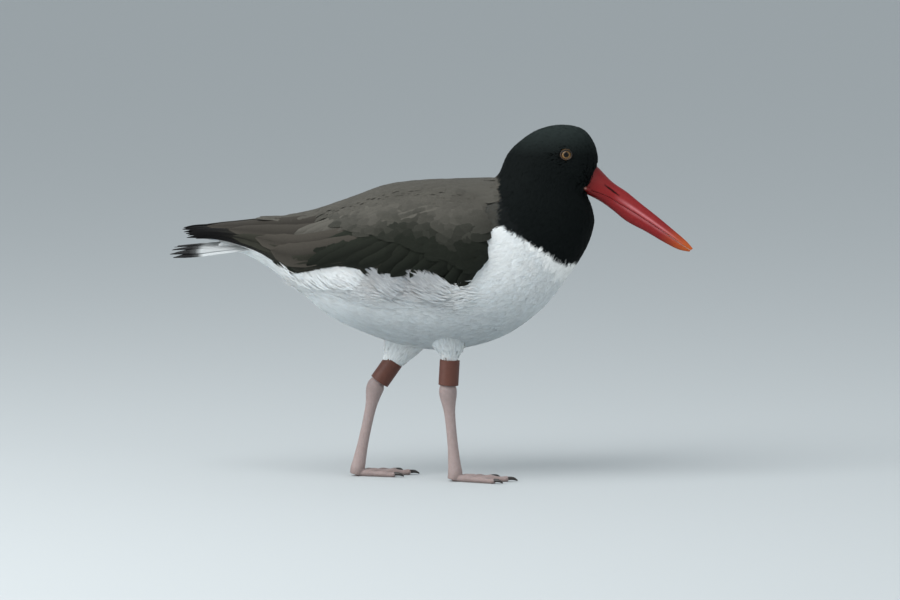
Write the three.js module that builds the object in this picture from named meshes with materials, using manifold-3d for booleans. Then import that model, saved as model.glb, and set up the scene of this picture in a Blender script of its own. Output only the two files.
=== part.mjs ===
// An American oystercatcher in mid stride, life size, as a still museum model.
// Millimetres. +X towards the bill, +Y the bird's left side, +Z up; the soles stand on z = 0.
// Outlines are given for the bird seen from its side: x along the body, z above the floor.

import * as THREE from "three";
import Module from "manifold-3d";

const wasm = await Module();
wasm.setup();

// Driving dimensions
const GAP = 0.3; // between neighbouring pieces
const HALF_GAP = GAP / 2;
const AROUND_BODY = 26; // points round one rib of the body
const BODY_STEPS = 38; // ribs along the body
const AROUND_LIMB = 12;
const AROUND_TOE = 8;
const VANE_THICK = 0.8;
const SMALLEST_EDGE = 0.03; // slivers left by the cuts are taken out below this

// Ribs of the body from the rump to the face, each from the back's line to the belly's line:
// back x, back z, belly x, belly z, half width.
const BODY_RIBS = [
  [-134.9, 168.9, -133.5, 157.8, 11],
  [-118.3, 172.3, -118.3, 150.2, 21],
  [-93.5, 175.8, -94.2, 132.1, 30],
  [-68.0, 182.0, -72.8, 114.1, 38],
  [-43.8, 191.0, -49.3, 102.4, 42.5],
  [-19.7, 199.3, -19.7, 92.7, 44.5],
  [4.5, 204.9, 11.4, 89.9, 45.5],
  [23.8, 206.6, 45.9, 98.2, 44.5],
  [36.2, 206.9, 73.5, 116.9, 41.5],
  [42.4, 208.3, 92.8, 140.5, 36],
  [45.9, 212.5, 105.2, 159.9, 30.5],
  [48.3, 218.7, 110.7, 176.5, 26.5],
  [52.1, 226.0, 109.4, 186.9, 24],
  [59.4, 233.3, 106.9, 193.4, 22.5],
  [70.0, 240.5, 106.3, 195.5, 21.5],
  [81.8, 244.3, 105.9, 196.4, 20.5],
  [94.2, 244.5, 105.8, 196.7, 19],
  [103.8, 241.2, 105.6, 196.9, 16.5],
  [110.1, 233.3, 105.6, 197.0, 13],
  [112.8, 225.0, 105.5, 197.1, 9.5],
  [113.5, 216.6, 105.4, 197.2, 6.5],
];
const BODY_ROUNDNESS = 2.15; // superellipse exponent of a rib
// The cuts between the torso, neck and head run through the back's and the belly's line.
const SHOULDER_CUT = { back: [42.4, 208.3], belly: [92.8, 140.5] };
const NAPE_CUT = { back: [50.6, 222.5], belly: [109.6, 186.4] };

// The folded wing as a sheet from the wrist (station 0) to the tip (station 9): x, y, z of the bird's left
// wing along its upper edge by the spine, its bulge and its lower edge.
const WING_UPPER = [
  [37.6, 30, 195.9],
  [14.8, 20, 203.6],
  [-9.3, 12, 205.3],
  [-33.5, 7.5, 201.9],
  [-57.6, 5.5, 192.9],
  [-81.8, 5, 184.6],
  [-105.9, 5, 180.4],
  [-133.5, 5.5, 177],
  [-161.1, 6, 175.8],
  [-172.2, 7, 173.7],
];
const WING_BULGE = [
  [42.7, 40, 173.7],
  [16.9, 48, 170.9],
  [-7.9, 50.5, 172.3],
  [-33.5, 50, 171.6],
  [-59.7, 46, 169.5],
  [-87.3, 39, 164.7],
  [-105, 31.5, 164.8],
  [-128, 22.5, 169.3],
  [-155, 15.5, 171.6],
  [-171.5, 10.5, 169.8],
];
const WING_LOWER = [
  [37.9, 42, 150.2],
  [19.7, 45, 135.6],
  [-5.9, 47, 139.8],
  [-33.5, 46, 139.8],
  [-61.1, 43, 146.0],
  [-92.1, 36.5, 143.9],
  [-104, 31, 147.5],
  [-122.5, 23.5, 159.2],
  [-148.5, 16.5, 166.6],
  [-170.5, 12, 166],
];
const WING_LAST_STATION = WING_UPPER.length - 1;
const WING_CORE_END = 6.4; // station where the fleshy wing ends and only feathers go on
const WING_CORE_DEPTH = 7;

// Tiers of feathers on the folded wing. Each feather runs from its root to its tip, in stations along the
// wing and in shares of the way from the upper to the lower edge; width and lift are in millimetres.
const WING_TIERS = [
  {
    name: "primary",
    count: 4,
    root: [4.6, 0.5],
    rootTo: [4.6, 0.9],
    tip: [8.75, 0.1],
    tipTo: [8.9, 0.8],
    width: 8,
    lift: -0.6,
  },
  {
    name: "secondary",
    count: 4,
    root: [3.4, 0.52],
    rootTo: [2.6, 0.86],
    tip: [7.7, 0.62],
    tipTo: [5.3, 0.9],
    width: 14,
    lift: 0.5,
  },
  {
    name: "tertial",
    count: 3,
    root: [2.6, 0.3],
    rootTo: [3.0, 0.66],
    tip: [8.15, 0.16],
    tipTo: [6.6, 0.66],
    width: 16,
    lift: 1.6,
  },
  {
    name: "greater covert",
    count: 4,
    root: [0.5, 0.72],
    rootTo: [3.9, 0.54],
    tip: [1.4, 0.95],
    tipTo: [5.5, 0.8],
    width: 19,
    lift: 2.2,
  },
  {
    name: "scapular",
    count: 4,
    root: [0.3, 0.32],
    rootTo: [2.6, 0.17],
    tip: [2.3, 0.54],
    tipTo: [5.1, 0.32],
    width: 20,
    lift: 3.4,
  },
];
const VANE_STATIONS = [0, 0.3, 0.8, 1];
const VANE_PROFILE = [0.6, 1, 0.85, 0.15]; // half width at each of them
const ROOT_SINK = 3.2; // how far a wing feather's root lies in the wing

const TAIL = {
  feathers: 12,
  rootX: -116,
  rootZ: 161.5,
  length: 64,
  outerLonger: 2.5,
  spreadDeg: 11,
  width: 13.5,
  archDrop: 2.5, // the outer feathers lie this much lower than the middle ones
  slopeDeg: 5,
  droop: 4.5,
  coreHalf: [17, 13.5, 4.2],
};

// The bill at stations from the face to the tip: culmen x z, mouth line x z, lower edge x z, half width.
const BILL_RIBS = [
  [109.5, 218.6, 99.9, 203.8, 99.5, 199.0, 10.2],
  [113.8, 215.2, 105.9, 201.0, 105.5, 197.0, 8.6],
  [123.2, 205.6, 119.0, 196.2, 114.9, 192.1, 5.8],
  [133.5, 198.4, 127.6, 191.0, 123.2, 186.2, 4.5],
  [142.5, 191.0, 136.3, 185.8, 133.3, 178.2, 3.9],
  [153.5, 182.3, 148.0, 178.2, 146.5, 171.1, 3.3],
  [165.7, 172.1, 161.8, 168.9, 158.6, 164.0, 2.5],
  [174.2, 164.7, 170.8, 162.3, 168.7, 158.9, 1.8],
  [178.9, 159.4, 177.2, 158.3, 176.4, 157.2, 0.9],
];
const BILL_STEPS = 13;
const NOSTRIL = { from: [117.2, 204.2], to: [128.6, 195.6], radius: 0.9, depth: 1.5 };

const EYE = { x: 91.1, z: 225.6, radius: 4.6, proud: 1.2, ring: 3.8, ringThick: 0.6, ringHeight: 0.86 };

const LEG_Y = 17;
// Each leg seen from its side; the bird's right leg bears it in mid stride and its left leg trails.
// Points are x, y outwards, z; the thigh is feathered, the shank bare.
const LEGS = [
  {
    side: "right",
    sign: -1,
    thigh: [[4, 19, 118, 22], [9, 18.5, 104, 17], [11.6, 17.6, 92, 11], [11.4, LEG_Y, 85.5, 5.6]],
    shank: [
      [11.8, 17.2, 93],
      [11.4, LEG_Y, 86],
      [10.4, LEG_Y, 71],
      [10, LEG_Y, 61.5],
      [11.2, LEG_Y, 47],
      [13.4, LEG_Y, 24],
      [15, LEG_Y, 5],
    ],
    heel: 3,
    footYaw: 4,
  },
  {
    side: "left",
    sign: 1,
    thigh: [[-8, 19, 118, 23], [-17, 18.5, 101, 18], [-25, 17.6, 86, 10.5], [-30, LEG_Y, 77, 5.8]],
    shank: [
      [-25.4, 17.4, 84],
      [-29.6, LEG_Y, 77],
      [-36.6, LEG_Y, 67.6],
      [-40.4, LEG_Y, 61.6],
      [-43.6, LEG_Y, 47.4],
      [-48.6, LEG_Y, 24.4],
      [-52.6, LEG_Y, 5],
    ],
    heel: 3,
    footYaw: 6,
  },
];
// Half thickness of the shank at its points, front to back and side to side.
const SHANK_SIZE = [[3.9, 3.6], [4, 3.7], [4.3, 4], [6.2, 5.6], [3.9, 3.3], [3.7, 3.1], [5, 4.6]];
const ANKLE_CUT_Z = 7.5; // above it the shank, below it the foot
const BAND = { outer: 6.9, inner: 5.7, above: 5, height: 17.5 };

// Toes, with their length, the angle from straight ahead (outwards positive) and half thickness.
const TOES = [
  { name: "inner", length: 29, deg: -26, half: 2.9 },
  { name: "middle", length: 38, deg: 2, half: 3.2 },
  { name: "outer", length: 33, deg: 27, half: 3 },
];
const TOE_PADS = 3;
const CLAW_LENGTH = 6.5;
const CLAW_SIZE = [[1.3, 1.5], [1.1, 1.2], [0.45, 0.4]]; // half height and half width at root, middle and tip
const SOLE_SINK = 0.7; // the share of a toe's half thickness at which its flat sole is cut
const WEB = { reach: 0.45, thick: 1.1, z: 1.6 };

// Small tools
const rad = THREE.MathUtils.degToRad;
let randomState = 20240611;
function random() {
  randomState = (randomState * 1664525 + 1013904223) % 4294967296;
  return randomState / 4294967296;
}
const vary = (share) => 1 + share * (2 * random() - 1);

function smoothCurve(points) {
  return new THREE.CatmullRomCurve3(points.map((p) => new THREE.Vector3(...p)), false, "centripetal");
}

// Column values of a table, followed smoothly along the table's rows.
function smoothTable(rows) {
  const width = rows[0].length;
  const curves = [];
  for (let i = 0; i < width; i += 3) {
    curves.push(smoothCurve(rows.map((r) => [r[i], r[i + 1] ?? 0, r[i + 2] ?? 0])));
  }
  return (t) => curves.flatMap((c) => c.getPoint(t).toArray()).slice(0, width);
}

// A closed geometry of rings of equal count, capped at both ends. A sheet's rings run out along its upper
// face and back along its lower face, and both faces are split into triangles alike.
function ringsGeometry(rings, sheet = false) {
  const n = rings[0].length;
  const points = rings.flat();
  const index = [];
  for (let i = 0; i + 1 < rings.length; i++) {
    for (let j = 0; j < n; j++) {
      const a = i * n + j;
      const b = i * n + ((j + 1) % n);
      const back = sheet && j >= n / 2;
      index.push(...(back ? [a, b, a + n, b, b + n, a + n] : [a, b, b + n, a, b + n, a + n]));
    }
  }
  for (const [ring, start] of [[rings[0], 0], [rings.at(-1), (rings.length - 1) * n]]) {
    const middle = new THREE.Vector3();
    ring.forEach((p) => middle.addScaledVector(p, 1 / n));
    points.push(middle);
    for (let j = 0; j < n; j++) {
      const a = start + j;
      const b = start + ((j + 1) % n);
      index.push(...(start === 0 ? [points.length - 1, b, a] : [points.length - 1, a, b]));
    }
  }
  const geometry = new THREE.BufferGeometry();
  const places = new Float32Array(points.flatMap((p) => p.toArray()));
  geometry.setAttribute("position", new THREE.BufferAttribute(places, 3));
  geometry.setIndex(index);
  return geometry;
}

// A solid from a closed geometry, turned to face outwards.
function solidOf(geometry) {
  const vertProperties = new Float32Array(geometry.attributes.position.array);
  const triVerts = new Uint32Array(geometry.index.array);
  const made = new wasm.Manifold(new wasm.Mesh({ numProp: 3, vertProperties, triVerts }));
  if (made.volume() > 0) return made;
  for (let i = 0; i < triVerts.length; i += 3) {
    [triVerts[i + 1], triVerts[i + 2]] = [triVerts[i + 2], triVerts[i + 1]];
  }
  return new wasm.Manifold(new wasm.Mesh({ numProp: 3, vertProperties, triVerts }));
}

const loft = (rings, sheet) => solidOf(ringsGeometry(rings, sheet));
const join = (solids) => wasm.Manifold.union(solids);

// The largest closed body of a solid, without any sealed pocket in it.
function largest(solid) {
  let whole = solid;
  for (;;) {
    const bodies = whole.decompose();
    const best = bodies.reduce((a, b) => (a.volume() > b.volume() ? a : b));
    const remade = new wasm.Manifold(best.getMesh());
    if (remade.decompose().length === 1) return remade;
    whole = remade;
  }
}

// A closed ball with its poles on the Y axis.
function ball(radius, x, y, z, around = 20, scale = [1, 1, 1]) {
  const rings = [];
  const rows = around / 2;
  for (let i = 1; i < rows; i++) {
    const angle = (Math.PI * i) / rows;
    const ring = [];
    for (let j = 0; j < around; j++) {
      const turn = (2 * Math.PI * j) / around;
      ring.push(
        new THREE.Vector3(
          x + scale[0] * radius * Math.sin(angle) * Math.cos(turn),
          y + scale[1] * radius * Math.cos(angle),
          z + scale[2] * radius * Math.sin(angle) * Math.sin(turn),
        ),
      );
    }
    rings.push(ring);
  }
  return loft(rings);
}

// A tube of elliptical rings along points x, y, z with half sizes in the side view and across it.
function limb(points, sizes, steps, around = AROUND_LIMB) {
  const line = smoothCurve(points);
  const sizeAt = smoothTable(sizes);
  const rings = [];
  for (let i = 0; i <= steps; i++) {
    const t = i / steps;
    const at = line.getPoint(t);
    const along = line.getTangent(t);
    const across = new THREE.Vector3(0, 1, 0);
    const front = new THREE.Vector3().crossVectors(across, along).normalize();
    across.crossVectors(along, front).normalize();
    const [deep, wide = deep] = sizeAt(t);
    const ring = [];
    for (let j = 0; j < around; j++) {
      const turn = (2 * Math.PI * j) / around;
      const p = at.clone().addScaledVector(front, deep * Math.cos(turn));
      ring.push(p.addScaledVector(across, wide * Math.sin(turn)));
    }
    rings.push(ring);
  }
  return loft(rings);
}

// The body
const bodyRib = smoothTable(BODY_RIBS);

// A point of the body's surface, grown outwards: t runs from the rump to the face, turn from the back round
// by the left side.
function bodyPoint(t, turn, grow = 0) {
  const [backX, backZ, bellyX, bellyZ, halfWidth] = bodyRib(t);
  const up = new THREE.Vector3(backX - bellyX, 0, backZ - bellyZ);
  const halfHeight = up.length() / 2 + grow;
  up.normalize();
  const rounded = (v) => Math.sign(v) * Math.abs(v) ** (2 / BODY_ROUNDNESS);
  return new THREE.Vector3((backX + bellyX) / 2, 0, (backZ + bellyZ) / 2)
    .addScaledVector(up, halfHeight * rounded(Math.cos(turn)))
    .add(new THREE.Vector3(0, (halfWidth + grow) * rounded(Math.sin(turn)), 0));
}

function bodyRings(grow = 0) {
  const rings = [];
  for (let i = 0; i <= BODY_STEPS; i++) {
    const ring = [];
    for (let j = 0; j < AROUND_BODY; j++) {
      const p = bodyPoint(i / BODY_STEPS, (2 * Math.PI * j) / AROUND_BODY, grow);
      if (i === 0) p.x -= grow;
      if (i === BODY_STEPS) p.x += grow;
      ring.push(p);
    }
    rings.push(ring);
  }
  return rings;
}

// The part of a solid on the bill's side of a cut, or on the tail's side, clear of the cut by half a gap.
function beyond(solid, cut, towardsBill) {
  const [x, z] = cut.back;
  const along = new THREE.Vector3(cut.belly[0] - x, 0, cut.belly[1] - z).normalize();
  const normal = new THREE.Vector3(-along.z, 0, along.x);
  if (!towardsBill) normal.negate();
  return solid.trimByPlane(normal.toArray(), normal.dot(new THREE.Vector3(x, 0, z)) + HALF_GAP);
}

const body = loft(bodyRings());
const bodyGrown = loft(bodyRings(GAP));
const faceGrown = join([
  loft(bodyRings(2 * GAP)),
  body.translate([2 * GAP, 0, 0]),
  body.translate([GAP, 0, -2 * GAP]),
]); // the face with room for the bill round it

// Eyes, their lid rings, and the sockets for both
function eyeSide(sign) {
  const bothSides = new THREE.MeshBasicMaterial({ side: THREE.DoubleSide });
  const surface = new THREE.Mesh(ringsGeometry(bodyRings()), bothSides);
  const inwards = new THREE.Vector3(0, -sign, 0);
  const ray = new THREE.Raycaster(new THREE.Vector3(EYE.x, sign * 100, EYE.z), inwards);
  const surfaceY = Math.abs(ray.intersectObject(surface)[0].point.y);
  const centreY = surfaceY + EYE.proud - EYE.radius;
  const around = 18;
  const ringAt = (radius, y) => {
    const ring = [];
    for (let i = 0; i < around; i++) {
      const a = (2 * Math.PI * i) / around;
      const z = EYE.z + EYE.ringHeight * radius * Math.sin(a);
      ring.push(new THREE.Vector3(EYE.x + radius * Math.cos(a), sign * y, z));
    }
    return ring;
  };
  const outer = EYE.ring + EYE.ringThick;
  const lip = [
    ringAt(outer - 0.2, surfaceY - 0.9),
    ringAt(outer, surfaceY - 0.3),
    ringAt(outer, surfaceY + 0.5),
    ringAt(outer - 0.5, surfaceY + 1),
  ];
  const ballAt = (grow) => ball(EYE.radius + grow, EYE.x, sign * centreY, EYE.z, 16);
  const seat = loft([ringAt(outer + GAP, surfaceY - 0.9 - GAP), ringAt(outer + GAP, surfaceY + 8)]);
  return {
    eye: ballAt(0),
    ring: largest(loft(lip).subtract(ballAt(GAP))),
    socket: join([ballAt(GAP), seat]),
  };
}

// The bill: each half is a half ellipse on the mouth line.
const billRib = smoothTable(BILL_RIBS);
function billHalf(upper) {
  const rings = [];
  const around = 10;
  for (let i = 0; i <= BILL_STEPS; i++) {
    const [topX, topZ, mouthX, mouthZ, lowX, lowZ, halfWidth] = billRib(i / BILL_STEPS);
    const mouth = new THREE.Vector3(mouthX, 0, mouthZ);
    const edge = new THREE.Vector3(upper ? topX : lowX, 0, upper ? topZ : lowZ);
    const up = edge.clone().sub(mouth);
    const height = up.length();
    up.normalize();
    mouth.addScaledVector(up, HALF_GAP);
    const ring = [];
    for (let j = 0; j <= around; j++) {
      const turn = (Math.PI * j) / around;
      ring.push(
        mouth
          .clone()
          .addScaledVector(up, Math.max(height - HALF_GAP, 0.3) * Math.sin(turn) ** 0.85)
          .add(new THREE.Vector3(0, halfWidth * Math.cos(turn), 0)),
      );
    }
    rings.push(ring);
  }
  return loft(rings);
}

function nostril(sign) {
  const rings = [];
  const from = new THREE.Vector3(NOSTRIL.from[0], 0, NOSTRIL.from[1]);
  const to = new THREE.Vector3(NOSTRIL.to[0], 0, NOSTRIL.to[1]);
  const along = to.clone().sub(from);
  const up = new THREE.Vector3(-along.z, 0, along.x).normalize();
  for (const y of [2.1, 8]) {
    const ring = [];
    for (let j = 0; j < 12; j++) {
      const turn = (2 * Math.PI * j) / 12;
      ring.push(
        from
          .clone()
          .addScaledVector(along, 0.5 + 0.5 * Math.cos(turn))
          .addScaledVector(up, NOSTRIL.radius * Math.sin(turn))
          .add(new THREE.Vector3(0, sign * (y + NOSTRIL.depth / 2), 0)),
      );
    }
    rings.push(ring);
  }
  return loft(rings);
}

// Feathers
// A closed vane from a function that gives its middle line, its side direction and its face normal at s.
function vane(frameAt, halfWidth, thick = VANE_THICK) {
  const rings = VANE_STATIONS.map((s, i) => {
    const { at, side, normal, camber } = frameAt(s);
    const w = halfWidth * VANE_PROFILE[i];
    const edge = (thick * 0.62) / 2;
    const drop = camber * (w / halfWidth) ** 2;
    const place = (across, up) => at.clone().addScaledVector(side, across).addScaledVector(normal, up);
    return [
      place(-w, edge - drop),
      place(0, thick / 2),
      place(w, edge - drop),
      place(w, -edge - drop),
      place(0, -thick / 2),
      place(-w, -edge - drop),
    ];
  });
  return loft(rings, true);
}

const wingEdges = [WING_UPPER, WING_BULGE, WING_LOWER].map(smoothCurve);

// A point of the left wing's outer sheet: station along it, share v from the upper to the lower edge.
function wingPoint(station, v) {
  const t = THREE.MathUtils.clamp(station / WING_LAST_STATION, 0, 1);
  const [upper, bulge, lower] = wingEdges.map((c) => c.getPoint(t));
  const a = 2 * (v - 0.5) * (v - 1);
  const b = 4 * v * (1 - v);
  const c = 2 * v * (v - 0.5);
  return upper.multiplyScalar(a).addScaledVector(bulge, b).addScaledVector(lower, c);
}

function wingNormal(station, v) {
  const d = 0.02;
  const along = wingPoint(station + d * 4, v).sub(wingPoint(station - d * 4, v));
  const down = wingPoint(station, v + d).sub(wingPoint(station, v - d));
  return along.cross(down).normalize();
}

function wingVane(root, tip, halfWidth, lift) {
  const lerp = (s) => [THREE.MathUtils.lerp(root[0], tip[0], s), THREE.MathUtils.lerp(root[1], tip[1], s)];
  const place = (s) => {
    const [station, v] = lerp(s);
    const outward = wingNormal(station, v);
    if (outward.y < 0) outward.negate();
    const high = 0.3 + 0.7 * THREE.MathUtils.smoothstep(v, 0.05, 0.4); // the upper edge lies flat on the back
    const rise = lift * high + (s < 0.25 ? -ROOT_SINK * (1 - s / 0.25) : 0) - 0.8 * Math.max(0, s - 0.6);
    return { at: wingPoint(station, v).addScaledVector(outward, rise), outward };
  };
  return vane((s) => {
    const { at, outward } = place(s);
    const along = place(Math.min(1, s + 0.05)).at.sub(place(Math.max(0, s - 0.05)).at).normalize();
    const side = new THREE.Vector3().crossVectors(along, outward).normalize();
    const tilt = -0.2; // each feather's upper edge lies under its neighbour
    side.addScaledVector(outward, tilt).normalize();
    const normal = new THREE.Vector3().crossVectors(side, along).normalize();
    return { at, side, normal, camber: 0.13 * halfWidth };
  }, halfWidth);
}

function wingCore() {
  const rings = [];
  const steps = 8;
  const across = 5;
  for (let i = 0; i <= steps; i++) {
    const station = (WING_CORE_END * i) / steps;
    const outer = [];
    const inner = [];
    for (let j = 0; j <= across; j++) {
      const v = j / across;
      const outward = wingNormal(station, v);
      if (outward.y < 0) outward.negate();
      const edge = Math.sin(Math.PI * (0.12 + 0.76 * v));
      const p = wingPoint(station, v);
      outer.push(p.clone().addScaledVector(outward, 0.6 * edge - 0.6));
      inner.push(p.addScaledVector(outward, -1.4 - (WING_CORE_DEPTH - 1.4) * edge * (1 - 0.5 * (i / steps))));
    }
    rings.push([...outer, ...inner.reverse()]);
  }
  return loft(rings, true);
}

function wing() {
  const pieces = [wingCore()];
  for (const tier of WING_TIERS) {
    for (let i = 0; i < tier.count; i++) {
      const f = tier.count === 1 ? 0 : i / (tier.count - 1);
      const mix = (a, b) => [THREE.MathUtils.lerp(a[0], b[0], f), THREE.MathUtils.lerp(a[1], b[1], f)];
      const root = mix(tier.root, tier.rootTo);
      const tip = mix(tier.tip, tier.tipTo);
      tip[0] *= vary(0.008);
      pieces.push(wingVane(root, tip, (tier.width / 2) * vary(0.08), tier.lift));
    }
  }
  return join(pieces);
}

function tail(grow = 0) {
  const pieces = [ball(1, TAIL.rootX, 0, TAIL.rootZ, 14, TAIL.coreHalf.map((v) => v + grow))];
  const slope = rad(TAIL.slopeDeg);
  for (let i = 0; i < TAIL.feathers; i++) {
    const f = (i - (TAIL.feathers - 1) / 2) / ((TAIL.feathers - 1) / 2); // -1 right to 1 left
    const out = Math.abs(f);
    const yaw = rad(TAIL.spreadDeg) * f;
    const odd = Math.floor(Math.abs(i - (TAIL.feathers - 1) / 2)) % 2;
    const length = TAIL.length + TAIL.outerLonger * (1 - out) + 0.8 * odd + grow;
    pieces.push(
      vane((s) => {
        const reach = length * s;
        const drop = TAIL.archDrop * out ** 1.6 * (0.35 + 0.65 * s) + TAIL.droop * s ** 2;
        const at = new THREE.Vector3(
          TAIL.rootX - reach * Math.cos(yaw) * Math.cos(slope),
          9 * f + reach * Math.sin(yaw),
          TAIL.rootZ + 1.8 - reach * Math.sin(slope) * 0.25 - drop - 0.5 * odd,
        );
        const side = new THREE.Vector3(0, 1, -0.34 * f).normalize();
        const along = new THREE.Vector3(-1, Math.sin(yaw), -0.08).normalize();
        const normal = new THREE.Vector3().crossVectors(along, side).normalize();
        if (normal.z < 0) normal.negate();
        return { at, side, normal, camber: 0.5 };
      }, TAIL.width / 2 + grow, VANE_THICK + 2 * grow),
    );
  }
  return join(pieces);
}

// Legs
function mirrored(points, sign) {
  return points.map(([x, y, z]) => [x, sign * y, z]);
}

function bandLine(leg) {
  const onItsSide = ([x, y, z]) => new THREE.Vector3(x, leg.sign * y, z);
  const ankle = onItsSide(leg.shank[leg.heel]);
  const above = onItsSide(leg.shank[1]);
  const along = above.clone().sub(ankle).normalize();
  const low = ankle.clone().addScaledVector(along, BAND.above);
  return { low, high: low.clone().addScaledVector(along, BAND.height) };
}

function band(leg, shankGrown) {
  const { low, high } = bandLine(leg);
  const points = [low.toArray(), high.toArray()];
  const outer = limb(points, [[BAND.outer, BAND.outer], [BAND.outer, BAND.outer]], 1);
  const further = [low.clone().lerp(high, -0.2).toArray(), low.clone().lerp(high, 1.2).toArray()];
  const inner = limb(further, [[BAND.inner, BAND.inner], [BAND.inner, BAND.inner]], 1);
  return largest(outer.subtract(inner).subtract(shankGrown));
}

function toeParts(leg, toe) {
  const root = leg.shank.at(-1);
  const angle = rad(toe.deg + leg.footYaw);
  const way = new THREE.Vector3(Math.cos(angle), leg.sign * Math.sin(angle), 0);
  const start = new THREE.Vector3(root[0] - 1, leg.sign * root[1], 0);
  const points = [];
  const sizes = [];
  const count = TOE_PADS * 3;
  for (let i = 0; i <= count; i++) {
    const s = i / count;
    const taper = 1 - 0.34 * s;
    const pad = 1 + 0.1 * Math.cos(2 * Math.PI * TOE_PADS * s);
    const half = toe.half * taper * pad * (i === count ? 0.62 : 1);
    points.push(start.clone().addScaledVector(way, toe.length * s).setZ(half * SOLE_SINK + 0.25).toArray());
    sizes.push([half * 0.92, half]);
  }
  const end = start.clone().addScaledVector(way, toe.length);
  const clawPoints = [
    end.clone().addScaledVector(way, -1.6).setZ(2.3).toArray(),
    end.clone().addScaledVector(way, CLAW_LENGTH * 0.45).setZ(2.3).toArray(),
    end.clone().addScaledVector(way, CLAW_LENGTH * 0.95).setZ(0.95).toArray(),
  ];
  return {
    toe: limb(points, sizes, 7, AROUND_TOE),
    claw: limb(clawPoints, CLAW_SIZE, 4, 8),
    clawGrown: limb(clawPoints, CLAW_SIZE.map((r) => r.map((v) => v + GAP)), 4, 8),
    end,
    start,
    way,
  };
}

function foot(leg) {
  const toes = TOES.map((toe) => ({ name: toe.name, ...toeParts(leg, toe) }));
  const root = leg.shank.at(-1);
  const above = leg.shank.at(-2);
  const up = new THREE.Vector3(above[0] - root[0], 0, above[2] - root[2]).normalize();
  const joint = limb(
    [
      [root[0] - 1, leg.sign * root[1], 1],
      [root[0], leg.sign * root[1], root[2] + 0.5],
      [root[0] + up.x * 8, leg.sign * root[1], root[2] + up.z * 8],
    ],
    [[4.6, 4.6], [5, 4.7], [4.2, 3.8]],
    6,
  );
  const pieces = [joint, ...toes.map((t) => t.toe)];
  // A short web joins the middle and the outer toe, a narrower one the middle and the inner toe.
  for (const [a, b, reach] of [[1, 2, WEB.reach], [1, 0, WEB.reach * 0.6]]) {
    const corner = (t, share) => toes[t].start.clone().addScaledVector(toes[t].way, TOES[t].length * share);
    const rim = [
      corner(a, 0.05),
      corner(a, reach * 1.1),
      corner(a, reach).lerp(corner(b, reach), 0.5),
      corner(b, reach * 1.1),
    ];
    const ringAt = (z) => rim.map((p) => p.clone().setZ(z));
    pieces.push(loft([ringAt(WEB.z - WEB.thick / 2), ringAt(WEB.z + WEB.thick / 2)]));
  }
  const whole = join(pieces).trimByPlane([0, 0, 1], 0).trimByPlane([0, 0, -1], -(ANKLE_CUT_Z - HALF_GAP));
  const claws = toes.map((t) => ({
    name: t.name,
    solid: t.claw.trimByPlane([0, 0, 1], 0),
    around: t.clawGrown,
  }));
  return { whole, claws };
}

// Materials
function finish(colour, roughness) {
  return new THREE.MeshStandardMaterial({ color: new THREE.Color(...colour), roughness, metalness: 0 });
}
const FINISHES = {
  hood: finish([0.03, 0.04, 0.045], 0.7),
  plumage: finish([0.72, 0.74, 0.74], 0.8),
  wing: finish([0.1, 0.09, 0.07], 0.75),
  tail: finish([0.05, 0.05, 0.05], 0.7),
  bill: finish([0.6, 0.07, 0.04], 0.35),
  eye: finish([0.75, 0.42, 0.04], 0.1),
  lid: finish([0.5, 0.16, 0.03], 0.5),
  leg: finish([0.62, 0.45, 0.42], 0.55),
  claw: finish([0.06, 0.05, 0.045], 0.4),
  band: finish([0.35, 0.08, 0.06], 0.45),
};

// Assembly
const bird = new THREE.Group();

function addNode(name, solid, material) {
  const whole = largest(largest(solid).simplify(SMALLEST_EDGE));
  const mesh = whole.getMesh();
  const width = mesh.numProp;
  const places = new Float32Array(mesh.numVert * 3);
  for (let i = 0; i < mesh.numVert; i++) {
    places.set(mesh.vertProperties.subarray(i * width, i * width + 3), i * 3);
  }
  const geometry = new THREE.BufferGeometry();
  geometry.setAttribute("position", new THREE.BufferAttribute(places, 3));
  geometry.setIndex(new THREE.BufferAttribute(mesh.triVerts, 1));
  geometry.computeVertexNormals();
  const node = new THREE.Mesh(geometry, material);
  node.name = name;
  bird.add(node);
  return whole;
}

const torso = beyond(body, SHOULDER_CUT, false);
const neck = beyond(beyond(body, SHOULDER_CUT, true), NAPE_CUT, false);
let head = beyond(body, NAPE_CUT, true);

for (const [side, sign] of [["left", 1], ["right", -1]]) {
  const { eye, ring, socket } = eyeSide(sign);
  head = head.subtract(socket);
  addNode(`eye_${side}`, eye, FINISHES.eye);
  addNode(`eyelid_ring_${side}`, ring, FINISHES.lid);
}
addNode("head", head, FINISHES.hood);
addNode("neck", neck, FINISHES.hood);

const billCuts = join([nostril(1), nostril(-1)]);
addNode("bill_upper", billHalf(true).subtract(billCuts).subtract(faceGrown), FINISHES.bill);
addNode("bill_lower", billHalf(false).subtract(faceGrown), FINISHES.bill);

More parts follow.
